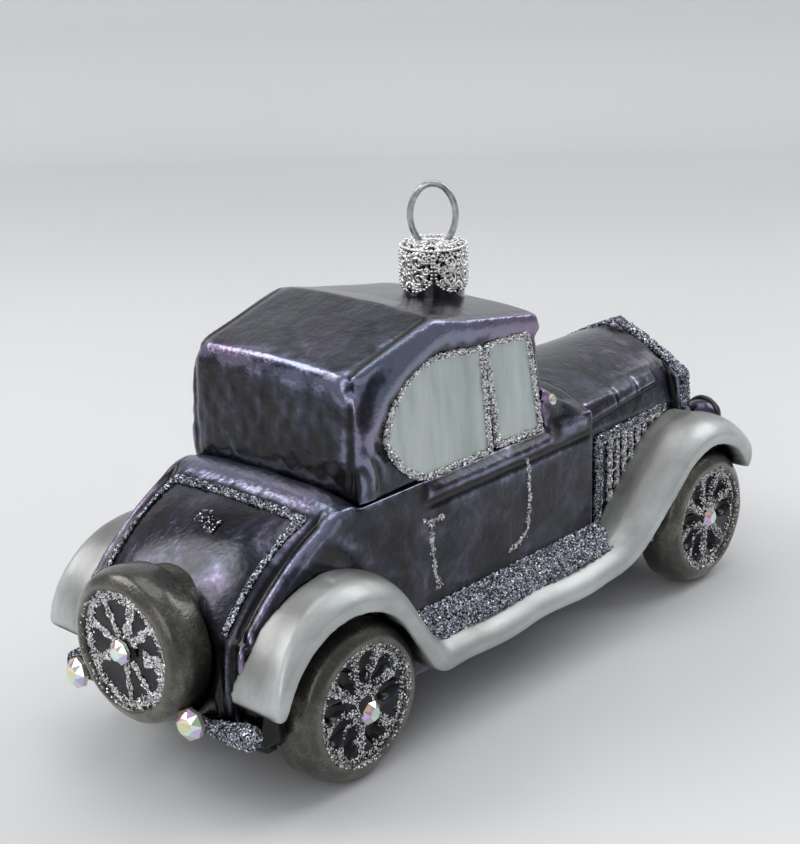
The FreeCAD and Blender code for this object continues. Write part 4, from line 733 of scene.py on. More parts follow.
def cowl_fill(sign):
    """A block that swells the cowl's flank out to the belt, from a cube."""
    bpy.ops.object.select_all(action="DESELECT")
    bpy.ops.mesh.primitive_cube_add(size=2)
    block = bpy.context.object
    for vertex in block.data.vertices:
        along, corners = COWL_REAR if vertex.co.x < 0 else COWL_FRONT
        out, up = corners[vertex.co.z > 0][vertex.co.y * sign > 0]
        vertex.co = Vector((along, sign * out, up)) * MM
    return block


# %% [markdown]
# The skin of the tub joins the body and its two belt rolls. The ledge's edge, the tail and
# the cowl's top are rounded more than the rest.

# %% Tub skin
TUB_NODES = ["body_shell", "belt_roll_right", "belt_roll_left"]
tub = merged_copy("tub_skin", TUB_NODES, [cowl_fill(-1), cowl_fill(1)])
melt(tub, voxel=0.4 * MM, rounds=6)
x, y, z = points_of(tub.data).T / MM
ledge_edge = between(-x, 33.5, 42, 0.5) * between(z, 38.0, 60, 0.5)
tail_edge = between(-x, 50, 99, 1.0)
soften(tub, 0.9 * ledge_edge + 0.6 * tail_edge, rounds=25)
cowl_top = between(x, 12.5, 23, 0.6) * between(z, 39.4, 45, 0.4) * between(np.abs(y), 13, 99, 0.5)
soften(tub, cowl_top, rounds=70)
shape_skin(tub, shape_tub, length=9, seed=4, depth=0.09)
soften_all(tub, rounds=2)

# %% [markdown]
# On the tub, painted shade darkens the tail's foot, and painted highlights lighten the ledge's
# top, the belt and one glinting place of the deck.

# %% Tub lacquer
x, y, z = points_of(tub.data).T / MM
tail_shade = between(-x, 49, 99, 1.5) * between(-z, -30, 0, 2.0)
glint = bell(from_place(x, y, (-52.5, -7.5)), 2.6) * between(z, 24, 99, 1.0)
ledge_highlight = between(x, -40.2, -35.2, 0.4) * between(z, 38.4, 60, 0.4) * between(y, -17, 14, 1.0)
belt_highlight = between(z, 38.6, 41, 0.2) * between(np.abs(y), 17.2, 99, 0.2) * between(x, -19, 12, 0.8)
mark_shade_and_highlight(tub, more=0.22 * tail_shade + 0.3 * tail_shade * between(-z, -19, 0, 1.5)
           - 0.4 * ledge_highlight - 0.05 * belt_highlight - 0.22 * glint)
thin_out(tub, share=0.5)
dress(tub, dark_lacquer, "ornament", "dark_lacquer", *TUB_NODES)

# %% [markdown]
# The hood's shoulder carries a moulded strip in three pads, with thin gaps between them,
# and the radiator shell closes the hood in front.

# %% Hood and radiator shell
HOOD_START = 23.5
HOOD_LENGTH = 31.0
STRIP_RISE = 0.32
STRIP_GAPS = (35.0, 42.3)


def shape_hood(points, normals):
    """The shoulder strip with its gaps, in millimetres."""
    x, y, z = points.T
    forward = (x - HOOD_START) / HOOD_LENGTH
    middle = 38.3 + 0.2 * forward
    strip = between(np.abs(z - middle), -1, 1.55 - 0.3 * forward, 0.12)
    strip *= between(x, 24.6, 49.5, 0.15) * between(np.abs(y), 11.5, 99, 0.3)
    gaps = bell(x - STRIP_GAPS[0], 0.3) + bell(x - STRIP_GAPS[1], 0.3)
    below = bell(z - (36.2 + 0.8 * forward), 0.4) * between(x, 23.5, 50, 0.5)
    below *= between(np.abs(y), 11.5, 99, 0.3)
    height = STRIP_RISE * strip * (1 - np.clip(gaps, 0, 1)) - 0.25 * below
    return points + normals * height[:, None]


HOOD_NODES = ["hood", "radiator_shell"]
hood = melt(merged_copy("hood_skin", HOOD_NODES), voxel=0.36 * MM, rounds=10)
shape_skin(hood, shape_hood, length=7, seed=6, depth=0.05)
# The hood's hollows get painted shade and its ridges painted highlight.
mark_shade_and_highlight(hood)
thin_out(hood, share=0.5)
dress(hood, dark_lacquer, "ornament", "dark_lacquer", *HOOD_NODES)

# %% [markdown]
# The fenders are one sweep each, painted satin silver. Their edges were painted by hand,
# so the lip wanders a little. The nose of each droops, the upward-facing crown is painted
# darker as shade, and the inside of the arches shows bare dark glass.

# %% Fenders
NOSE_CREST = ([54.9, 62.2, 64.5, 67.0], [29.0, 25.4, 23.1, 20.8])
NOSE_DROOP = 0.5
LIP_WANDER = 0.3


def along_lip(x, z):
    """Near 1 on the low lip between the arches."""
    return between(x, -24, 28, 2.0) * between(-z, -20, 0, 0.5)


for side in SIDES:
    fender = melt(merged_copy("fender_skin_" + side, ["fender_" + side]), voxel=0.38 * MM, rounds=10)
    x, y, z = points_of(fender.data).T / MM
    rear_end = between(-x, 51, 99, 0.7) * between(-z, -18, 0, 1.0)
    nose = between(x, 62, 99, 0.6)
    soften(fender, rear_end + 0.7 * nose + 0.9 * along_lip(x, z), rounds=50)
    points, normals = points_of(fender.data), normals_of(fender.data)
    x, y, z = points.T / MM
    swim = waves(points, 10 * MM, 11) * 0.08 * MM + waves(points, 3 * MM, 12) * 0.015 * MM
    moved = points + normals * swim[:, None]
    moved[:, 2] += along_lip(x, z) * LIP_WANDER * np.sin(0.3 * x + 1) * MM
    droop = between(x, 60.5, 99, 1.0) * between(24.6 - np.abs(y), -9, 8, 0.5)
    moved[:, 2] -= droop * NOSE_DROOP * np.clip(np.interp(x, *NOSE_CREST) - z, 0, 5) * MM
    move_points(fender.data, moved)
    inside = between(-normals[:, 2] - 0.25 * np.abs(normals[:, 1]), 0.15, 3, 0.06)
    inner_wall = between(24.0 - np.abs(y), 0, 99, 0.3)
    write_layer(fender.data, "bare", inside * inner_wall * between(z, 12.5, 99, 0.5))
    # The upward-facing crown is painted darker, as painted shade.
    shaded_top = (between(normals[:, 2], 0.3, 3, 0.12) * between(23.0 - np.abs(y), 0, 99, 0.5)
             * between(z, 19, 99, 1.5))
    write_layer(fender.data, "thin", shaded_top * (0.62 + 0.25 * waves(points, 9 * MM, 16)))
    thin_out(fender, share=0.5)
    dress(fender, silver_paint, "ornament", "silver_lacquer", "fender_" + side)

# %% [markdown]
# The tyres are blisters of glass, so their shoulders are very round: many more rounds of
# smoothing than the body has. The spare narrows towards the tail, and a ring on each
# shoulder is painted bright, both as rubbed paint and as a painted highlight.

# %% Tyres
SPARE_TAPER = 0.15
SHOULDER_RING = 9.9
RING_SHINE = 0.45

for label in ["tyre_" + corner for corner in CORNERS] + ["spare_tyre"]:
    is_spare = label == "spare_tyre"
    low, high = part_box(label)
    tyre = melt(merged_copy(label + "_skin", [label]), voxel=0.4 * MM, rounds=22)
    points = points_of(tyre.data)
    if is_spare:
        depth = np.clip((points[:, 0] - low.x) / (high.x - low.x), 0, 1)
        narrower = 1 - SPARE_TAPER * depth ** 1.3
        points[:, 1] *= narrower
        centre = (low.z + high.z) / 2
        points[:, 2] = centre + (points[:, 2] - centre) * narrower
        move_points(tyre.data, points)
    swim = waves(points, 7 * MM, 5) * 0.1 * MM
    move_points(tyre.data, points + normals_of(tyre.data) * swim[:, None])
    off = (points - np.array((low + high) / 2)) / MM
    across = off[:, 1] if is_spare else off[:, 0]
    face_out = -off[:, 0] if is_spare else np.abs(points[:, 1]) / MM
    # A ring on each shoulder is painted brighter: rubbed paint and a painted highlight.
    ring = bell(np.hypot(across, off[:, 2]) - SHOULDER_RING, 0.45)
    ring *= between(face_out, np.max(face_out) - 1.6, 99, 0.3)
    ring_patches = 0.5 + 0.5 * waves(points, 6 * MM, 15)
    write_layer(tyre.data, "wear_and_sheen", RING_SHINE * ring * ring_patches)
    thin_out(tyre, share=0.7)
    dress(tyre, pewter, "ornament", "pewter_lacquer", label)

# %% [markdown]
# The other pieces of the frame keep their shapes and get finishes only. The frame's mesh
# is loose triangles, so smooth shading by angle would do nothing there, and their flats
# are true flats.

# %% Frame pieces that stay
FINISHES = {
    "headlamp_": disc_lacquer,
    "quarter_pane_": window_paint, "door_pane_": window_paint, "windscreen": window_paint,
    "neck": neck_glass, "hanging_loop": wire_metal, "cap_shell": cap_recess,
    "radiator_core": silver_paint,
}
for name, obj in nodes.items():
    finish = next((m for start, m in FINISHES.items() if name.startswith(start)), glue)
    obj.data.materials.clear()
    obj.data.materials.append(finish)
print(len(nodes), "frame nodes have a finish")

# %% [markdown]
# The wheel faces are moulded with eight oval pockets between the spokes. The spare's face
# is flatter. Each face is a melted copy of its disc, dished by a function of the angle
# and the distance from the hub.

# %% Wheel faces
POCKETS = np.radians([2, 43, 80, 121, 172, 208, 242, 292])
POCKET_REACH = 5.3
POCKET_HALF_LENGTH = 2.3
POCKET_HALF_WIDTH = 1.4
FACE_RISE = 0.95
FACE_DISH = 1.2
FACE_GROWTH = 1.07


def angle_from(turn, middle):
    """The angle from one direction to another, between minus and plus half a turn."""
    return (turn - middle + math.pi) % (2 * math.pi) - math.pi


def pocket_depth(across, up):
    """How deep a wheel face is dished at a place on it, from 0 to 1."""
    reach = np.hypot(across, up)
    turn = np.arctan2(up, across)
    depth = np.zeros(len(reach))
    for middle in POCKETS:
        off = angle_from(turn, middle)
        oval = ((reach - POCKET_REACH) / POCKET_HALF_LENGTH) ** 2
        oval += (off * reach / POCKET_HALF_WIDTH) ** 2
        depth = np.maximum(depth, np.clip(1.25 - oval, 0, 1))
    return depth


def finish_face(face, node_name):
    """The lacquer, the thinning and the frame node of a wheel face."""
    # The face's hollows get painted shade and its ridges painted highlight.
    mark_shade_and_highlight(face, rounds=8, depth=0.3 * MM)
    thin_out(face, share=0.5)
    return dress(face, disc_lacquer, "ornament", "dark_lacquer", node_name)


wheel_faces = {}
for corner, sign in CORNERS.items():
    face = melt(merged_copy("wheel_face_" + corner, ["wheel_" + corner]), voxel=0.3 * MM, rounds=3)
    points = points_of(face.data)
    low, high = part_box("wheel_" + corner)
    middle = (low + high) / 2
    depth = pocket_depth((points[:, 0] - middle.x) / MM, (points[:, 2] - middle.z) / MM)
    outside = np.abs(points[:, 1]) > 20 * MM
    points[:, 1] += sign * (FACE_RISE - depth * FACE_DISH) * outside * MM
    points[:, 0] = middle.x + (points[:, 0] - middle.x) * FACE_GROWTH
    points[:, 2] = middle.z + (points[:, 2] - middle.z) * FACE_GROWTH
    move_points(face.data, points)
    wheel_faces[corner] = finish_face(face, "wheel_" + corner)
face = melt(merged_copy("spare_face", ["spare_wheel"]), voxel=0.3 * MM, rounds=3)
push(face, waves(points_of(face.data), 5 * MM, 9) * 0.12 * MM)
wheel_faces["spare"] = finish_face(face, "spare_wheel")

# %% [markdown]
# Glitter is sifted over lines of wet glue. A grain is a small square of film about 0.3 mm
# across. Each line gets a lumpy bed of glue, made from the frame's solid line, and the
# grains are drawn over its faces by area from one seeded generator. Every grain leans
# off the surface by a random tilt, as grains do that fell into wet glue.

# %% Glitter grains


def sow_grains(name, centres, facings, size, tilt, seed):
    """One mesh of square grains at given places that roughly face given ways."""
    chance = np.random.default_rng(seed)
    count = len(centres)
    normal = facings + chance.normal(size=(count, 3)) * tilt
    normal /= np.linalg.norm(normal, axis=1)[:, None]
    centres = centres + facings * chance.random((count, 1)) * size * 0.8
    first = np.cross(normal, chance.normal(size=(count, 3)))
    first /= np.linalg.norm(first, axis=1)[:, None]
    second = np.cross(normal, first)
    radius = size * chance.uniform(0.6, 1.2, (count, 1))
    verts = np.empty((count, 4, 3))
    for k in range(4):
        angle = k * math.pi / 2
        verts[:, k] = centres + (first * math.cos(angle) + second * math.sin(angle)) * radius
    mesh = bpy.data.meshes.new(name)
    mesh.vertices.add(count * 4)
    mesh.vertices.foreach_set("co", verts.ravel())
    mesh.loops.add(count * 4)
    mesh.loops.foreach_set("vertex_index", np.arange(count * 4))
    mesh.polygons.add(count)
    mesh.polygons.foreach_set("loop_start", np.arange(count) * 4)
    mesh.update(calc_edges=True)
    mesh.validate()
    return new_object(name, mesh)


def over_faces(piece, per_square_mm, seed, keep=None):
    """Random places on a piece's faces, spread by area, and the ways they face."""
    mesh = piece.data
    mesh.calc_loop_triangles()
    index = np.empty(len(mesh.loop_triangles) * 3, dtype=np.int64)
    mesh.loop_triangles.foreach_get("vertices", index)
    corners = points_of(mesh)[index.reshape(-1, 3)]
    cross = np.cross(corners[:, 1] - corners[:, 0], corners[:, 2] - corners[:, 0])
    area = np.linalg.norm(cross, axis=1) / 2
    facings = cross / np.maximum(area * 2, 1e-15)[:, None]
    if keep is not None:
        area = area * keep(facings, corners.mean(axis=1) / MM)
    chance = np.random.default_rng(seed)
    count = int(area.sum() / MM ** 2 * per_square_mm)
    pick = chance.choice(len(area), size=count, p=area / area.sum())
    weights = np.sqrt(chance.random((count, 1)))
    split = chance.random((count, 1))
    a, b, c = corners[pick, 0], corners[pick, 1], corners[pick, 2]
    return (1 - weights) * a + weights * (1 - split) * b + weights * split * c, facings[pick]


def glue_bed(name, node_names, slot, seed, lump=0.1, swell=0.0, material=glue):
    """A lumpy bed of glue in place of some frame nodes."""
    bed = melt(merged_copy(name + "_glue", node_names), voxel=0.26 * MM, rounds=2)
    points = points_of(bed.data)
    ragged = waves(points, 1.1 * MM, seed) + waves(points, 0.6 * MM, seed + 1)
    offset = (ragged * lump + (swell(points / MM) if callable(swell) else swell)) * MM
    move_points(bed.data, points + normals_of(bed.data) * offset[:, None])
    return dress(bed, material, "ornament", slot, *node_names)


def sift(name, bed, film, slot, per_square_mm, size, seed, keep=None, tilt=0.45):
    """Grains sown over a bed."""
    centres, facings = over_faces(bed, per_square_mm, seed, keep)
    dress(sow_grains(name, centres, facings, size * MM, tilt, seed), film, "ornament", slot)


def seen_from(sign):
    """Keeps the faces that look away from the middle plane or upwards."""
    return lambda facing, centre: (facing[:, 1] * sign > -0.2) & (facing[:, 2] > -0.75)


def louvre_frame(sign, wanted):
    """Keeps the louvres' frame, or the slats inside it."""
    def keep(facing, centre):
        framing = (centre[:, 0] < 27.9) | (centre[:, 2] > 32.3)
        return (framing == wanted) & (facing[:, 1] * sign > -0.3)
    return keep


for side, sign in SIDES.items():
    panes = ["quarter_pane_trim_" + side, "door_pane_trim_" + side]
    bed = glue_bed("window_glitter_" + side, panes, "bright_glitter", seed=21, lump=0.15, swell=-0.03,
                   material=pale_glue)
    sift("window_grains_" + side, bed, bright_film, "bright_glitter", per_square_mm=46, size=0.17,
         seed=22, keep=seen_from(sign), tilt=0.6)
    bed = glue_bed("louvre_glitter_" + side, ["louvre_trim_" + side], "dark_glitter", seed=41)
    sift("louvre_frame_grains_" + side, bed, dark_film, "dark_glitter", per_square_mm=30, size=0.16,
         seed=42, keep=louvre_frame(sign, True))
    sift("louvre_slat_grains_" + side, bed, bright_film, "bright_glitter", per_square_mm=34, size=0.19,
         seed=43, keep=louvre_frame(sign, False))
    bed = glue_bed("board_glitter_" + side, ["running_board_" + side], "dark_glitter", seed=51, lump=0.16)
    sift("board_grains_" + side, bed, dark_film, "dark_glitter", per_square_mm=34, size=0.15,
         seed=52, keep=seen_from(sign))

# %% [markdown]
# The lid's line is thinner down its sides than along its top, and the radiator and the
# windscreen share one kind of line.

# %% Lid and radiator glitter


def lid_swell(points):
    """Thinner glue down the lid's sides than along its top."""
    return -0.32 * between(-points[:, 2], -38.2, 0, 0.4) * between(np.abs(points[:, 1]), 10, 99, 0.5)


bed = glue_bed("lid_glitter", ["lid_trim"], "dark_glitter", seed=61, lump=0.12, swell=lid_swell)
sift("lid_grains", bed, dark_film, "dark_glitter", per_square_mm=42, size=0.15, seed=62,
     keep=lambda facing, centre: (facing[:, 2] > -0.2) | (facing[:, 0] < -0.3))
bed = glue_bed("radiator_glitter", ["radiator_trim", "windscreen_trim"], "dark_glitter", seed=71)
sift("radiator_grains", bed, dark_film, "dark_glitter", per_square_mm=24, size=0.17, seed=72)

# %% [markdown]
# Each end of the rear bumper is a drop of glitter that thickens outwards, and the left end
# is shorter than the right. Places are in millimetres, in the car's own frame.

# %% Bumper glitter
BUMPER_BACK = -60.6
BUMPER_HEIGHT = 15.3
BUMPER_INNER_END = 12
LEFT_END_SHARE = 0.5

bed = glue_bed("bumper_glitter", ["rear_bumper", "front_bumper"], "dark_glitter", seed=81, lump=0.12)
points = points_of(bed.data)
rear = points[:, 0] < 0
reach = np.clip((np.abs(points[:, 1]) / MM - 12.5) / 9, 0, 1)
size = np.where(rear, 0.55 + 0.5 * reach, 1)
foot = np.where(rear, 14.1 + 1.1 * reach, 0)
points[:, 2] = np.where(rear, foot * MM + (points[:, 2] - BUMPER_HEIGHT * MM) * size, points[:, 2])
points[:, 0] = np.where(rear, BUMPER_BACK * MM + (points[:, 0] - BUMPER_BACK * MM) * size, points[:, 0])
left_end = rear & (points[:, 1] > 0)
shorter = BUMPER_INNER_END * MM + (points[:, 1] - BUMPER_INNER_END * MM) * LEFT_END_SHARE
points[:, 1] = np.where(left_end, shorter, points[:, 1])
move_points(bed.data, points)
soften(bed, between(np.abs(points[:, 1]) / MM, 19.5, 99, 0.4) * rear, rounds=14)
sift("bumper_grains", bed, dark_film, "dark_glitter", per_square_mm=30, size=0.16, seed=82)

# %% [markdown]
# The boot lid's handle is a bent black knob with only a few grains on it.

# %% Lid handle
HANDLE_HALF_LENGTH = 2.6

handle = melt(merged_copy("lid_handle_knob", ["lid_handle"]), voxel=0.16 * MM, rounds=14)
points = points_of(handle.data)
reach = points[:, 1] / (HANDLE_HALF_LENGTH * MM)
points[:, 2] += (0.25 * np.sin(reach * 3) - 0.3 * reach ** 2) * MM
points[:, 0] += 0.5 * np.sin(reach * 2.5) * MM
move_points(handle.data, points)
# The knob's hollows get painted shade and its ridges painted highlight.
mark_shade_and_highlight(handle, rounds=6)
dress(handle, disc_lacquer, "ornament", "dark_lacquer", "lid_handle")
sift("lid_handle_grains", handle, dark_film, "dark_glitter", per_square_mm=12, size=0.15, seed=64,
     keep=lambda facing, centre: facing[:, 2] - facing[:, 0] > 0.4)

# %% [markdown]
# On the doors and the wheels the glue was drawn freehand, so the lines wander in width.
# Places are drawn beside the strokes in the flat, and dropped straight on to the glass
# below them, so that the grains lie on the melted surface wherever it went.

# %% Door glitter
DROP_START = 30
DROP_LENGTH = 30


def drop_on(targets, origins, heading):
    """Where straight drops from some places meet the target pieces, and how those face."""
    places, ways = [], []
    trees = [BVHTree.FromPolygons([v.co for v in t.data.vertices],
                                  [p.vertices[:] for p in t.data.polygons]) for t in targets]
    for origin in origins:
        hits = [tree.ray_cast(Vector(origin), Vector(heading), DROP_LENGTH * MM) for tree in trees]
        hits = [h for h in hits if h[0] is not None]
        if hits:
            near = min(hits, key=lambda h: h[3])
            places.append(near[0])
            ways.append(near[1])
    return np.array(places), np.array(ways)


def along_strokes(strokes, per_mm, width, seed):
    """Random places beside hand-drawn strokes, denser in the middle of each line."""
    chance = np.random.default_rng(seed)
    places = []
    for stroke in strokes:
        for (ax, az), (bx, bz) in zip(stroke, stroke[1:]):
            length = math.hypot(bx - ax, bz - az)
            count = int(length * per_mm)
            share = chance.random((count, 1))
            line = np.array([[ax, az]]) + share * np.array([[bx - ax, bz - az]])
            lean = np.array([[az - bz, bx - ax]]) / length
            wander = 0.7 + 0.3 * np.sin(line.sum(axis=1, keepdims=True) * 2.7)
            places.append(line + lean * chance.normal(size=(count, 1)) * width * wander)
    return np.vstack(places)


DOOR_STROKES = [[(5.7, 36.3), (6.0, 29.0), (5.5, 23.9), (3.6, 22.6), (0.5, 21.6)],
                [(-20.2, 33.6), (-18.4, 32.9), (-15.4, 33.0)],
                [(-18.4, 33.0), (-18.2, 29.2), (-17.6, 24.0), (-16.5, 21.3)]]
for side, sign in SIDES.items():
    drawn = along_strokes(DOOR_STROKES, per_mm=44, width=0.33, seed=35) * MM
    origins = np.column_stack([drawn[:, 0], np.full(len(drawn), sign * DROP_START * MM), drawn[:, 1]])
    places, ways = drop_on([tub], origins, (0, -sign, 0))
    grains = sow_grains("door_grains_" + side, places, ways, size=0.145 * MM, tilt=0.6, seed=36)
    dress(grains, bright_film, "ornament", "bright_glitter", "door_trim_" + side)

# %% [markdown]
# A wheel's pattern is a wandering ring and eight spokes. Random places over the wheel are
# kept with the chance that the pattern gives them there, and dropped on the face and the
# tyre. A spoke is its angle in degrees, its half width and where it starts.

# %% Wheel glitter
PATTERN_REACH = 10
ABOVE_WHEEL = 10


def drawn_spokes(across, up, spokes, ring, ring_half):
    """Chance of a grain on a wheel with a wandering ring and spokes of given widths."""
    reach = np.hypot(across, up)
    turn = np.arctan2(up, across)
    wander = 0.2 * np.sin(3 * turn + 1) + 0.12 * np.sin(7 * turn)
    chance = bell((reach - ring - wander) / ring_half, 1) ** 2
    for angle, half, start in spokes:
        beside = np.abs(angle_from(turn, math.radians(angle)) * reach)
        ragged = half * (1 + 0.25 * np.sin(reach * 2.3 + angle))
        chance = np.maximum(chance, (beside < ragged) * (reach > start) * (reach < ring))
    return chance


SPARE_SPOKES = [(121, 0.55, 2), (75, 0.7, 2), (40, 0.6, 2), (-2, 1.1, 4), (-49, 0.5, 2),
                (-87, 0.5, 2), (-153, 0.65, 2), (161, 0.55, 2)]
chance = np.random.default_rng(91)
spread = chance.uniform(-PATTERN_REACH, PATTERN_REACH, (26000, 2))
share = drawn_spokes(*spread.T, SPARE_SPOKES, ring=8.3, ring_half=0.85)
kept = spread[chance.random(len(spread)) < share]
kept = kept[np.hypot(*kept.T) < 9.25]
low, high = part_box("spare_wheel")
middle = (low + high) / 2
origins = np.column_stack([np.full(len(kept), low.x - ABOVE_WHEEL * MM), middle.y - kept[:, 0] * MM,
                           middle.z + kept[:, 1] * MM])
spare_tyre = bpy.data.objects["spare_tyre_skin"]
places, ways = drop_on([wheel_faces["spare"], spare_tyre], origins, (1, 0, 0))
grains = sow_grains("spare_grains", places, ways, size=0.18 * MM, tilt=0.5, seed=92)
dress(grains, bright_film, "ornament", "bright_glitter", "spare_spokes")

ROAD_SPOKES = [(math.degrees(p) + 22, 0.75, 1.5) for p in POCKETS]
for seed, (corner, sign) in enumerate(CORNERS.items(), start=101):
    chance = np.random.default_rng(seed)
    spread = chance.uniform(-PATTERN_REACH, PATTERN_REACH, (17000, 2))
    share = drawn_spokes(*spread.T, ROAD_SPOKES, ring=8.7, ring_half=0.9) * 0.85
    share = share * (1 - pocket_depth(*spread.T)) * (np.hypot(*spread.T) < 9.6)
    kept = spread[chance.random(len(spread)) < share]
    low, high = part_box("wheel_" + corner)
    middle = (low + high) / 2
    start = (high.y if sign > 0 else low.y) + sign * ABOVE_WHEEL * MM
    origins = np.column_stack([middle.x + kept[:, 0] * MM, np.full(len(kept), start),
                               middle.z + kept[:, 1] * MM])
    tyre = bpy.data.objects["tyre_" + corner + "_skin"]
    places, ways = drop_on([wheel_faces[corner], tyre], origins, (0, -sign, 0))
    grains = sow_grains("wheel_grains_" + corner, places, ways, size=0.15 * MM, tilt=0.5, seed=seed)
    dress(grains, bright_film, "ornament", "bright_glitter", "spokes_" + corner)

# %% [markdown]
# A crystal is a cut stone: an octagonal girdle, and above it triangles that turn up to a
# smaller octagon, the table. It is modelled once per size: a flat cylinder whose top is
# inset, raised and turned, and then cut into triangles.

# %% Crystals
GIRDLE_DEPTH = 0.3
TABLE_INSET = 0.42
TABLE_RISE = 0.4
SEAT_DEPTH = 0.12


def cut_crystal(node_name, out, spin, larger, aside=(0, 0, 0)):
    """A cut stone in place of a frame stone, facing a given way and set a little aside."""
    low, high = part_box(node_name)
    size = max(high - low) / 2 * larger
    bpy.ops.object.select_all(action="DESELECT")
    bpy.ops.mesh.primitive_cylinder_add(vertices=8, radius=size, depth=size * GIRDLE_DEPTH,
                                        rotation=(0, 0, spin))
    stone = bpy.context.object
    stone.name = node_name + "_cut"
    bpy.ops.object.transform_apply(location=False, rotation=True, scale=True)
    for polygon in stone.data.polygons:
        polygon.select = polygon.normal.z > 0.9
    for edge in stone.data.edges:
        edge.select = False
    for vertex in stone.data.vertices:
        vertex.select = vertex.co.z > 0
    bpy.ops.object.mode_set(mode="EDIT")
    bpy.ops.mesh.select_mode(type="FACE")
    bpy.ops.mesh.inset(thickness=size * TABLE_INSET)
    bpy.ops.transform.translate(value=(0, 0, size * TABLE_RISE))
    bpy.ops.transform.rotate(value=math.pi / 8, orient_axis="Z", center_override=(0, 0, 0))
    bpy.ops.mesh.select_all(action="SELECT")
    bpy.ops.mesh.quads_convert_to_tris(quad_method="SHORTEST_DIAGONAL")
    bpy.ops.mesh.edge_split(type="EDGE")
    bpy.ops.object.mode_set(mode="OBJECT")
    facing = Vector(out).normalized()
    seat = (low + high) / 2 - facing * size * SEAT_DEPTH + Vector(aside) * MM
    turn = facing.to_track_quat("Z", "Y").to_matrix().to_4x4()
    stone.data.transform(Matrix.Translation(seat) @ turn)
    dress(stone, crystal, "ornament", "crystal", node_name)


for corner, sign in CORNERS.items():
    aside = (1.2, 0.2 * sign, -1.8) if corner == "rear_right" else (0.3, 0.2 * sign, 0)
    cut_crystal("hub_stone_" + corner, (0, sign, 0), spin=0.3, larger=1.35, aside=aside)
cut_crystal("spare_stone", (-1, 0, 0), spin=0.2, larger=1.25)
for side, sign in SIDES.items():
    cut_crystal("tail_stone_" + side, (-1, 0.15 * sign, 0.1), spin=0.1, larger=1.12, aside=(0, 1.4, -0.7))
    cut_crystal("cowl_stone_" + side, (0, sign, 0.5), spin=0.4, larger=1.15)

# %% [markdown]
# Each headlamp is a dark bowl with a worn silvery rim round its mouth. The rim is a thin
# ring, a little out of round, as everything that is blown is.

# %% Headlamp rims
RIM_RADIUS = 3.2
RIM_THICKNESS = 0.5
RIM_FRONT = 60.6
RIM_OUT = 16.35
RIM_BELOW_TOP = 3.1

for side, sign in SIDES.items():
    low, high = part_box("headlamp_" + side)
    bpy.ops.object.select_all(action="DESELECT")
    bpy.ops.mesh.primitive_torus_add(major_segments=44, minor_segments=10, major_radius=RIM_RADIUS * MM,
                                     minor_radius=RIM_THICKNESS * MM, rotation=(0, math.pi / 2, 0))
    rim = bpy.context.object
    rim.name = "headlamp_rim_" + side
    bpy.ops.object.transform_apply(location=False, rotation=True, scale=True)
    place = (RIM_FRONT * MM, sign * RIM_OUT * MM, high.z - RIM_BELOW_TOP * MM)
    rim.data.transform(Matrix.Translation(place))
    push(rim, waves(points_of(rim.data), 2 * MM, 14) * 0.1 * MM)
    bpy.ops.object.shade_smooth()
    dress(rim, pewter, "ornament", "pewter_lacquer")

# %% [markdown]
# The loop is spring wire, a little thicker than the bare solid shows once it is plated.

# %% Wire loop
PLATING = 0.08

loop = merged_copy("wire_loop", ["hanging_loop"])
push(loop, PLATING * MM)
bpy.ops.object.shade_smooth()
dress(loop, wire_metal, "hanger", "loop_wire", "hanging_loop")

# %% [markdown]
# The crown cap is stamped from thin bright metal, with scrolls, ropes of beads and a
# rosette raised on it. They are made as real relief: thin tubes that follow spirals wrapped
# round the cap, and rows of beads along the petals' edges and the rim. Places on the cap
# are millimetres along a petal and above the cap's foot.

# %% Cap relief tools
CAP_TURN = math.radians(-49)
TUBE_SIDES = 5
SPIRAL_STEPS = 24
low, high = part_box("cap_shell")
cap_axis = (low + high) / 2
cap_radius = (high.x - low.x) / 2
cap_foot = low.z
cap_top = high.z


def on_cap(petal, along, height):
    """A place on the cap's wall."""
    angle = CAP_TURN + math.pi / 4 + petal * math.pi / 2 + along * MM / cap_radius
    return Vector((cap_axis.x + cap_radius * math.cos(angle),
                   cap_axis.y + cap_radius * math.sin(angle), cap_foot + height * MM))


def on_top(reach, angle):
    """A place on the cap's top."""
    return Vector((cap_axis.x + reach * MM * math.cos(angle),
                   cap_axis.y + reach * MM * math.sin(angle), cap_top))


def raised_line(places, radius):
    """Vertices and faces of a thin five-sided tube through some places."""
    verts, faces = [], []
    n = TUBE_SIDES
    for k, place in enumerate(places):
        before, behind = places[max(k - 1, 0)], places[min(k + 1, len(places) - 1)]
        run = (behind - before).normalized()
        outwards = Vector((place.x - cap_axis.x, place.y - cap_axis.y, 0.002)).normalized()
        side = run.cross(outwards).normalized()
        rise = side.cross(run)
        for j in range(n):
            angle = 2 * math.pi * j / n
            verts.append(place + (side * math.cos(angle) + rise * math.sin(angle)) * radius)
    for k in range(len(places) - 1):
        for j in range(n):
            after = (j + 1) % n
            faces.append((k * n + j, k * n + after, (k + 1) * n + after, (k + 1) * n + j))
    faces += [tuple(range(n - 1, -1, -1)), tuple(range(len(verts) - n, len(verts)))]
    return verts, faces


bpy.ops.object.select_all(action="DESELECT")
bpy.ops.mesh.primitive_ico_sphere_add(subdivisions=1, radius=1)
bead = bpy.context.object
bead_verts = [v.co.copy() for v in bead.data.vertices]
bead_faces = [tuple(p.vertices) for p in bead.data.polygons]
bpy.data.objects.remove(bead)

relief_verts, relief_faces = [], []


def add_relief(verts, faces):
    """Joins more vertices and faces to the relief."""
    start = len(relief_verts)
    relief_verts.extend(verts)
    relief_faces.extend(tuple(i + start for i in face) for face in faces)


def add_line(places, radius):
    """Joins a tube to the relief, its radius in millimetres."""
    add_relief(*raised_line(places, radius * MM))


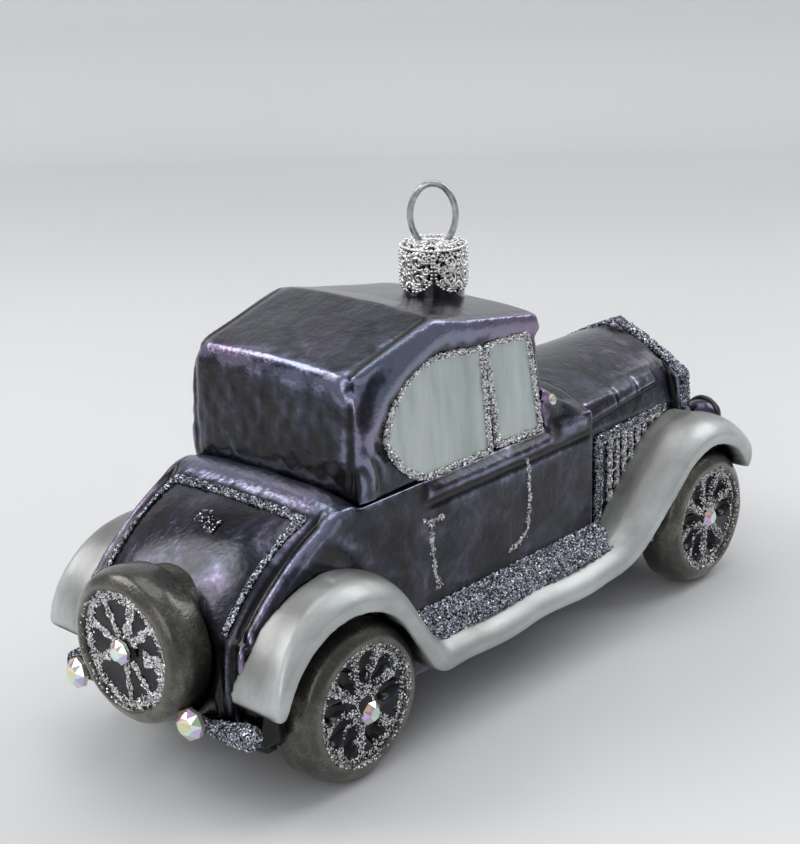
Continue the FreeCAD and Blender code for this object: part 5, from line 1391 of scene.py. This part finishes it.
def add_bead(place, radius):
    """Joins a bead to the relief, its radius in millimetres."""
    add_relief([place + v * (radius * MM) for v in bead_verts], bead_faces)


def spiral(petal, middle, height, start, end, turns, lean):
    """A scroll on the cap's wall that winds inwards."""
    places = []
    for k in range(SPIRAL_STEPS + 1):
        share = k / SPIRAL_STEPS
        reach = start + (end - start) * share
        angle = lean + turns * 2 * math.pi * share
        places.append(on_cap(petal, middle + reach * math.cos(angle), height + reach * math.sin(angle)))
    return places


# %% [markdown]
# Each petal carries six scrolls on either half, a rope of beads along its edge, a fan of
# five short leaves at its tip and beads up its middle. The scrolls below are the place of
# the eye, the reach at the start and the end, the turns, the lean and the thickness.

# %% Cap relief
PETAL_EDGE = [(-4.05, 6.2), (-4.0, 4.4), (-3.9, 2.6), (-3.5, 1.5), (-2.7, 0.8), (-1.4, 0.3), (0, 0.15)]
EDGE_BEAD_STEP = 0.5
SCROLLS = [(1.75, 2.4, 1.35, 0.25, 1.5, 1.2, 0.27), (1.6, 5.0, 1.25, 0.25, -1.4, -0.9, 0.27),
           (3.05, 3.8, 0.75, 0.2, 1.2, 2.5, 0.22), (0.75, 3.7, 0.6, 0.15, -1.1, 0.4, 0.2),
           (2.9, 1.9, 0.5, 0.12, -1.1, 2.0, 0.2), (2.9, 5.7, 0.55, 0.12, 1.1, 1.0, 0.2)]
for petal in range(4):
    for sign in (-1, 1):
        for middle, height, start, end, turns, lean, thick in SCROLLS:
            lean = lean if sign > 0 else math.pi - lean
            add_line(spiral(petal, middle * sign, height, start, end, turns * sign, lean), thick)
        for (a, b), (c, d) in zip(PETAL_EDGE, PETAL_EDGE[1:]):
            steps = max(2, int(math.hypot(c - a, d - b) / EDGE_BEAD_STEP))
            for k in range(steps):
                share = k / steps
                add_bead(on_cap(petal, sign * (a + (c - a) * share), b + (d - b) * share), 0.31)
        for k in range(5):
            lean = 0.35 + 0.3 * k
            reaches = (0.3, 0.7, 1.0 + 0.25 * k)
            leaf = [on_cap(petal, sign * r * math.sin(lean), 0.7 + r * math.cos(lean)) for r in reaches]
            add_line(leaf, 0.22)
    for k in range(8):
        add_bead(on_cap(petal, 0, 0.9 + 0.72 * k), 0.46 if k % 2 else 0.32)

# %% [markdown]
# Two ropes of beads go round the cap's shoulder, and the top has a ring of beads and a
# rosette of sixteen leaves.

# %% Cap rim and rosette


def round_turn(count):
    """Angles of places that are spread evenly round the cap."""
    return [k / count * 2 * math.pi for k in range(count)]


for angle in round_turn(48):
    add_bead(on_top(5.25, angle) - Vector((0, 0, 0.5 * MM)), 0.36)
    add_bead(on_top(5.3, angle + 0.06) - Vector((0, 0, 1.15 * MM)), 0.28)
for angle in round_turn(36):
    add_bead(on_top(3.9, angle), 0.32)
for angle in round_turn(16):
    add_line([on_top(r, angle + 0.1 * (r - 1)) for r in (0.9, 1.6, 2.4, 3.3)], 0.24)
    add_bead(on_top(4.6, angle), 0.3)
relief_mesh = bpy.data.meshes.new("cap_relief")
relief_mesh.from_pydata(relief_verts, [], relief_faces)
relief = new_object("cap_relief", relief_mesh)
leave_selected(relief)
bpy.ops.object.mode_set(mode="EDIT")
bpy.ops.mesh.select_all(action="SELECT")
bpy.ops.mesh.normals_make_consistent(inside=False)
bpy.ops.object.mode_set(mode="OBJECT")
bpy.ops.object.shade_smooth()
dress(relief, cap_metal, "hanger", "cap_metal")

# %% [markdown]
# The ornament was photographed on a sheet of pale paper that curves up behind it. The
# floor and the backdrop are one such sheet, large enough to fill the view. It stands well
# away from the ornament, so the shade that the far part has in the picture is given to
# the paper's own colour, by how far along the view and how high it is.

# %% Paper sweep
SWEEP_NEAR = 0.9
SWEEP_FAR = 0.45
SWEEP_WIDE = 2.0
SWEEP_HIGH = 1.4
BEND = 0.05
BEND_STEPS = 24
SHADE_FROM = 0.1
SHADE_TO = 0.4
VIEW_HEADING = Vector((0.7413, 0.6712, 0.0))
ACROSS = Vector((-VIEW_HEADING.y, VIEW_HEADING.x, 0))
FIBRE_STEPS = (0.3, 0.7)


def make_paper(name, floor_shades, back_shades, standing_shade):
    """Pale paper, a shade darker far behind the ornament."""
    material, tree = start_material(name)
    place = add(tree, "ShaderNodeTexCoord").outputs["Object"]
    fibre = add(tree, "ShaderNodeTexNoise", {"Vector": place, "Scale": 2.5, "Detail": 2.0})
    ahead = add(tree, "ShaderNodeVectorMath", {0: place, 1: VIEW_HEADING}, operation="DOT_PRODUCT")
    far = add(tree, "ShaderNodeMapRange", {"Value": ahead.outputs["Value"], "From Min": SHADE_FROM,
                                           "From Max": SHADE_TO}, interpolation_type="SMOOTHSTEP")
    flat, back = [add(tree, "ShaderNodeValToRGB", {"Fac": fibre.outputs["Fac"]},
                      stops=list(zip(FIBRE_STEPS, shades))) for shades in (floor_shades, back_shades)]
    lying = add(tree, "ShaderNodeMix", {0: far.outputs["Result"], 6: flat.outputs["Color"],
                                        7: back.outputs["Color"]}, data_type="RGBA")
    height = add(tree, "ShaderNodeSeparateXYZ", {"Vector": place}).outputs["Z"]
    standing = add(tree, "ShaderNodeMapRange", {"Value": height, "From Max": BEND})
    colour = add(tree, "ShaderNodeMix", {0: standing.outputs["Result"], 6: lying.outputs[2],
                                         7: tint(standing_shade)}, data_type="RGBA")
    shader = add(tree, "ShaderNodeBsdfPrincipled", {"Base Color": colour.outputs[2],
                                                    "Roughness": 0.9, "Specular IOR Level": 0.2})
    add(tree, "ShaderNodeOutputMaterial", {"Surface": shader.outputs["BSDF"]})
    return material


def make_sheet(name, rows, material):
    """A sheet of paper drawn across the view through rows of (ahead, height)."""
    verts, faces = [], []
    for ahead, height in rows:
        middle = VIEW_HEADING * ahead + Vector((0, 0, height))
        verts += [middle - ACROSS * SWEEP_WIDE, middle + ACROSS * SWEEP_WIDE]
    for k in range(len(rows) - 1):
        faces.append((2 * k, 2 * k + 2, 2 * k + 3, 2 * k + 1))
    mesh = bpy.data.meshes.new(name)
    mesh.from_pydata(verts, [], faces)
    for polygon in mesh.polygons:
        polygon.use_smooth = True
    mesh.materials.append(material)
    new_object(name, mesh)
    print(name, len(faces), "faces")


floor_paper = make_paper("pale_grey_paper", ("#d0d1d2", "#dadbdb"), ("#bebfc0", "#c8c9ca"), "#d6d7d8")
profile = [(-SWEEP_NEAR, 0.0), (SWEEP_FAR, 0.0)]
for step in range(1, BEND_STEPS + 1):
    angle = step / BEND_STEPS * math.pi / 2
    profile.append((SWEEP_FAR + BEND * math.sin(angle), BEND * (1 - math.cos(angle))))
profile.append((SWEEP_FAR + BEND, SWEEP_HIGH))
make_sheet("paper_floor", profile[:2], floor_paper)
make_sheet("paper_backdrop", profile[1:], floor_paper)

# %% [markdown]
# Four large soft lamps and an even pale world light the object, as a window, a white
# ceiling and a bright room would. The lacquer is a mirror, so the lamps' shapes are what
# it shows: the window lamp, behind the car on its left side, draws the long highlights on
# the roof's edge and the ledge, and the others fill the front and the near side.

# %% Light
WORLD_STRENGTH = 0.9
AIM = Vector((0, 0, 0.03))

world = bpy.data.worlds.new("room")
world.use_nodes = True
bpy.context.scene.world = world
tree = world.node_tree
tree.nodes.clear()
heading = add(tree, "ShaderNodeTexCoord").outputs["Generated"]
height = add(tree, "ShaderNodeSeparateXYZ", {"Vector": heading}).outputs["Z"]
colour = add(tree, "ShaderNodeValToRGB", {"Fac": height}, stops=[
    (0.0, "#a3a4a8"), (0.2, "#a3a4a8"), (0.5, "#b0b1b5"), (0.9, "#d6d6da")])
sky = add(tree, "ShaderNodeBackground", {"Color": colour.outputs["Color"], "Strength": WORLD_STRENGTH})
add(tree, "ShaderNodeOutputWorld", {"Surface": sky.outputs["Background"]})


def soft_lamp(name, place, size, watts):
    """A square soft lamp aimed at the ornament's middle."""
    data = bpy.data.lights.new(name, "AREA")
    data.shape = "SQUARE"
    data.size = size
    data.energy = watts
    lamp = new_object(name, data)
    lamp.location = place
    aim = AIM - Vector(place)
    lamp.rotation_euler = aim.to_track_quat("-Z", "Y").to_euler()
    print(name, watts, "W")


soft_lamp("window_lamp", (-0.38, 0.46, 0.52), size=0.42, watts=2.6)
soft_lamp("ceiling_lamp", (0.1, 0.08, 0.8), size=0.5, watts=1.5)
soft_lamp("room_lamp", (-0.6, -0.28, 0.34), size=0.4, watts=1.0)
soft_lamp("front_lamp", (0.52, -0.2, 0.52), size=0.36, watts=1.5)

bpy.context.scene.view_settings.view_transform = "Standard"
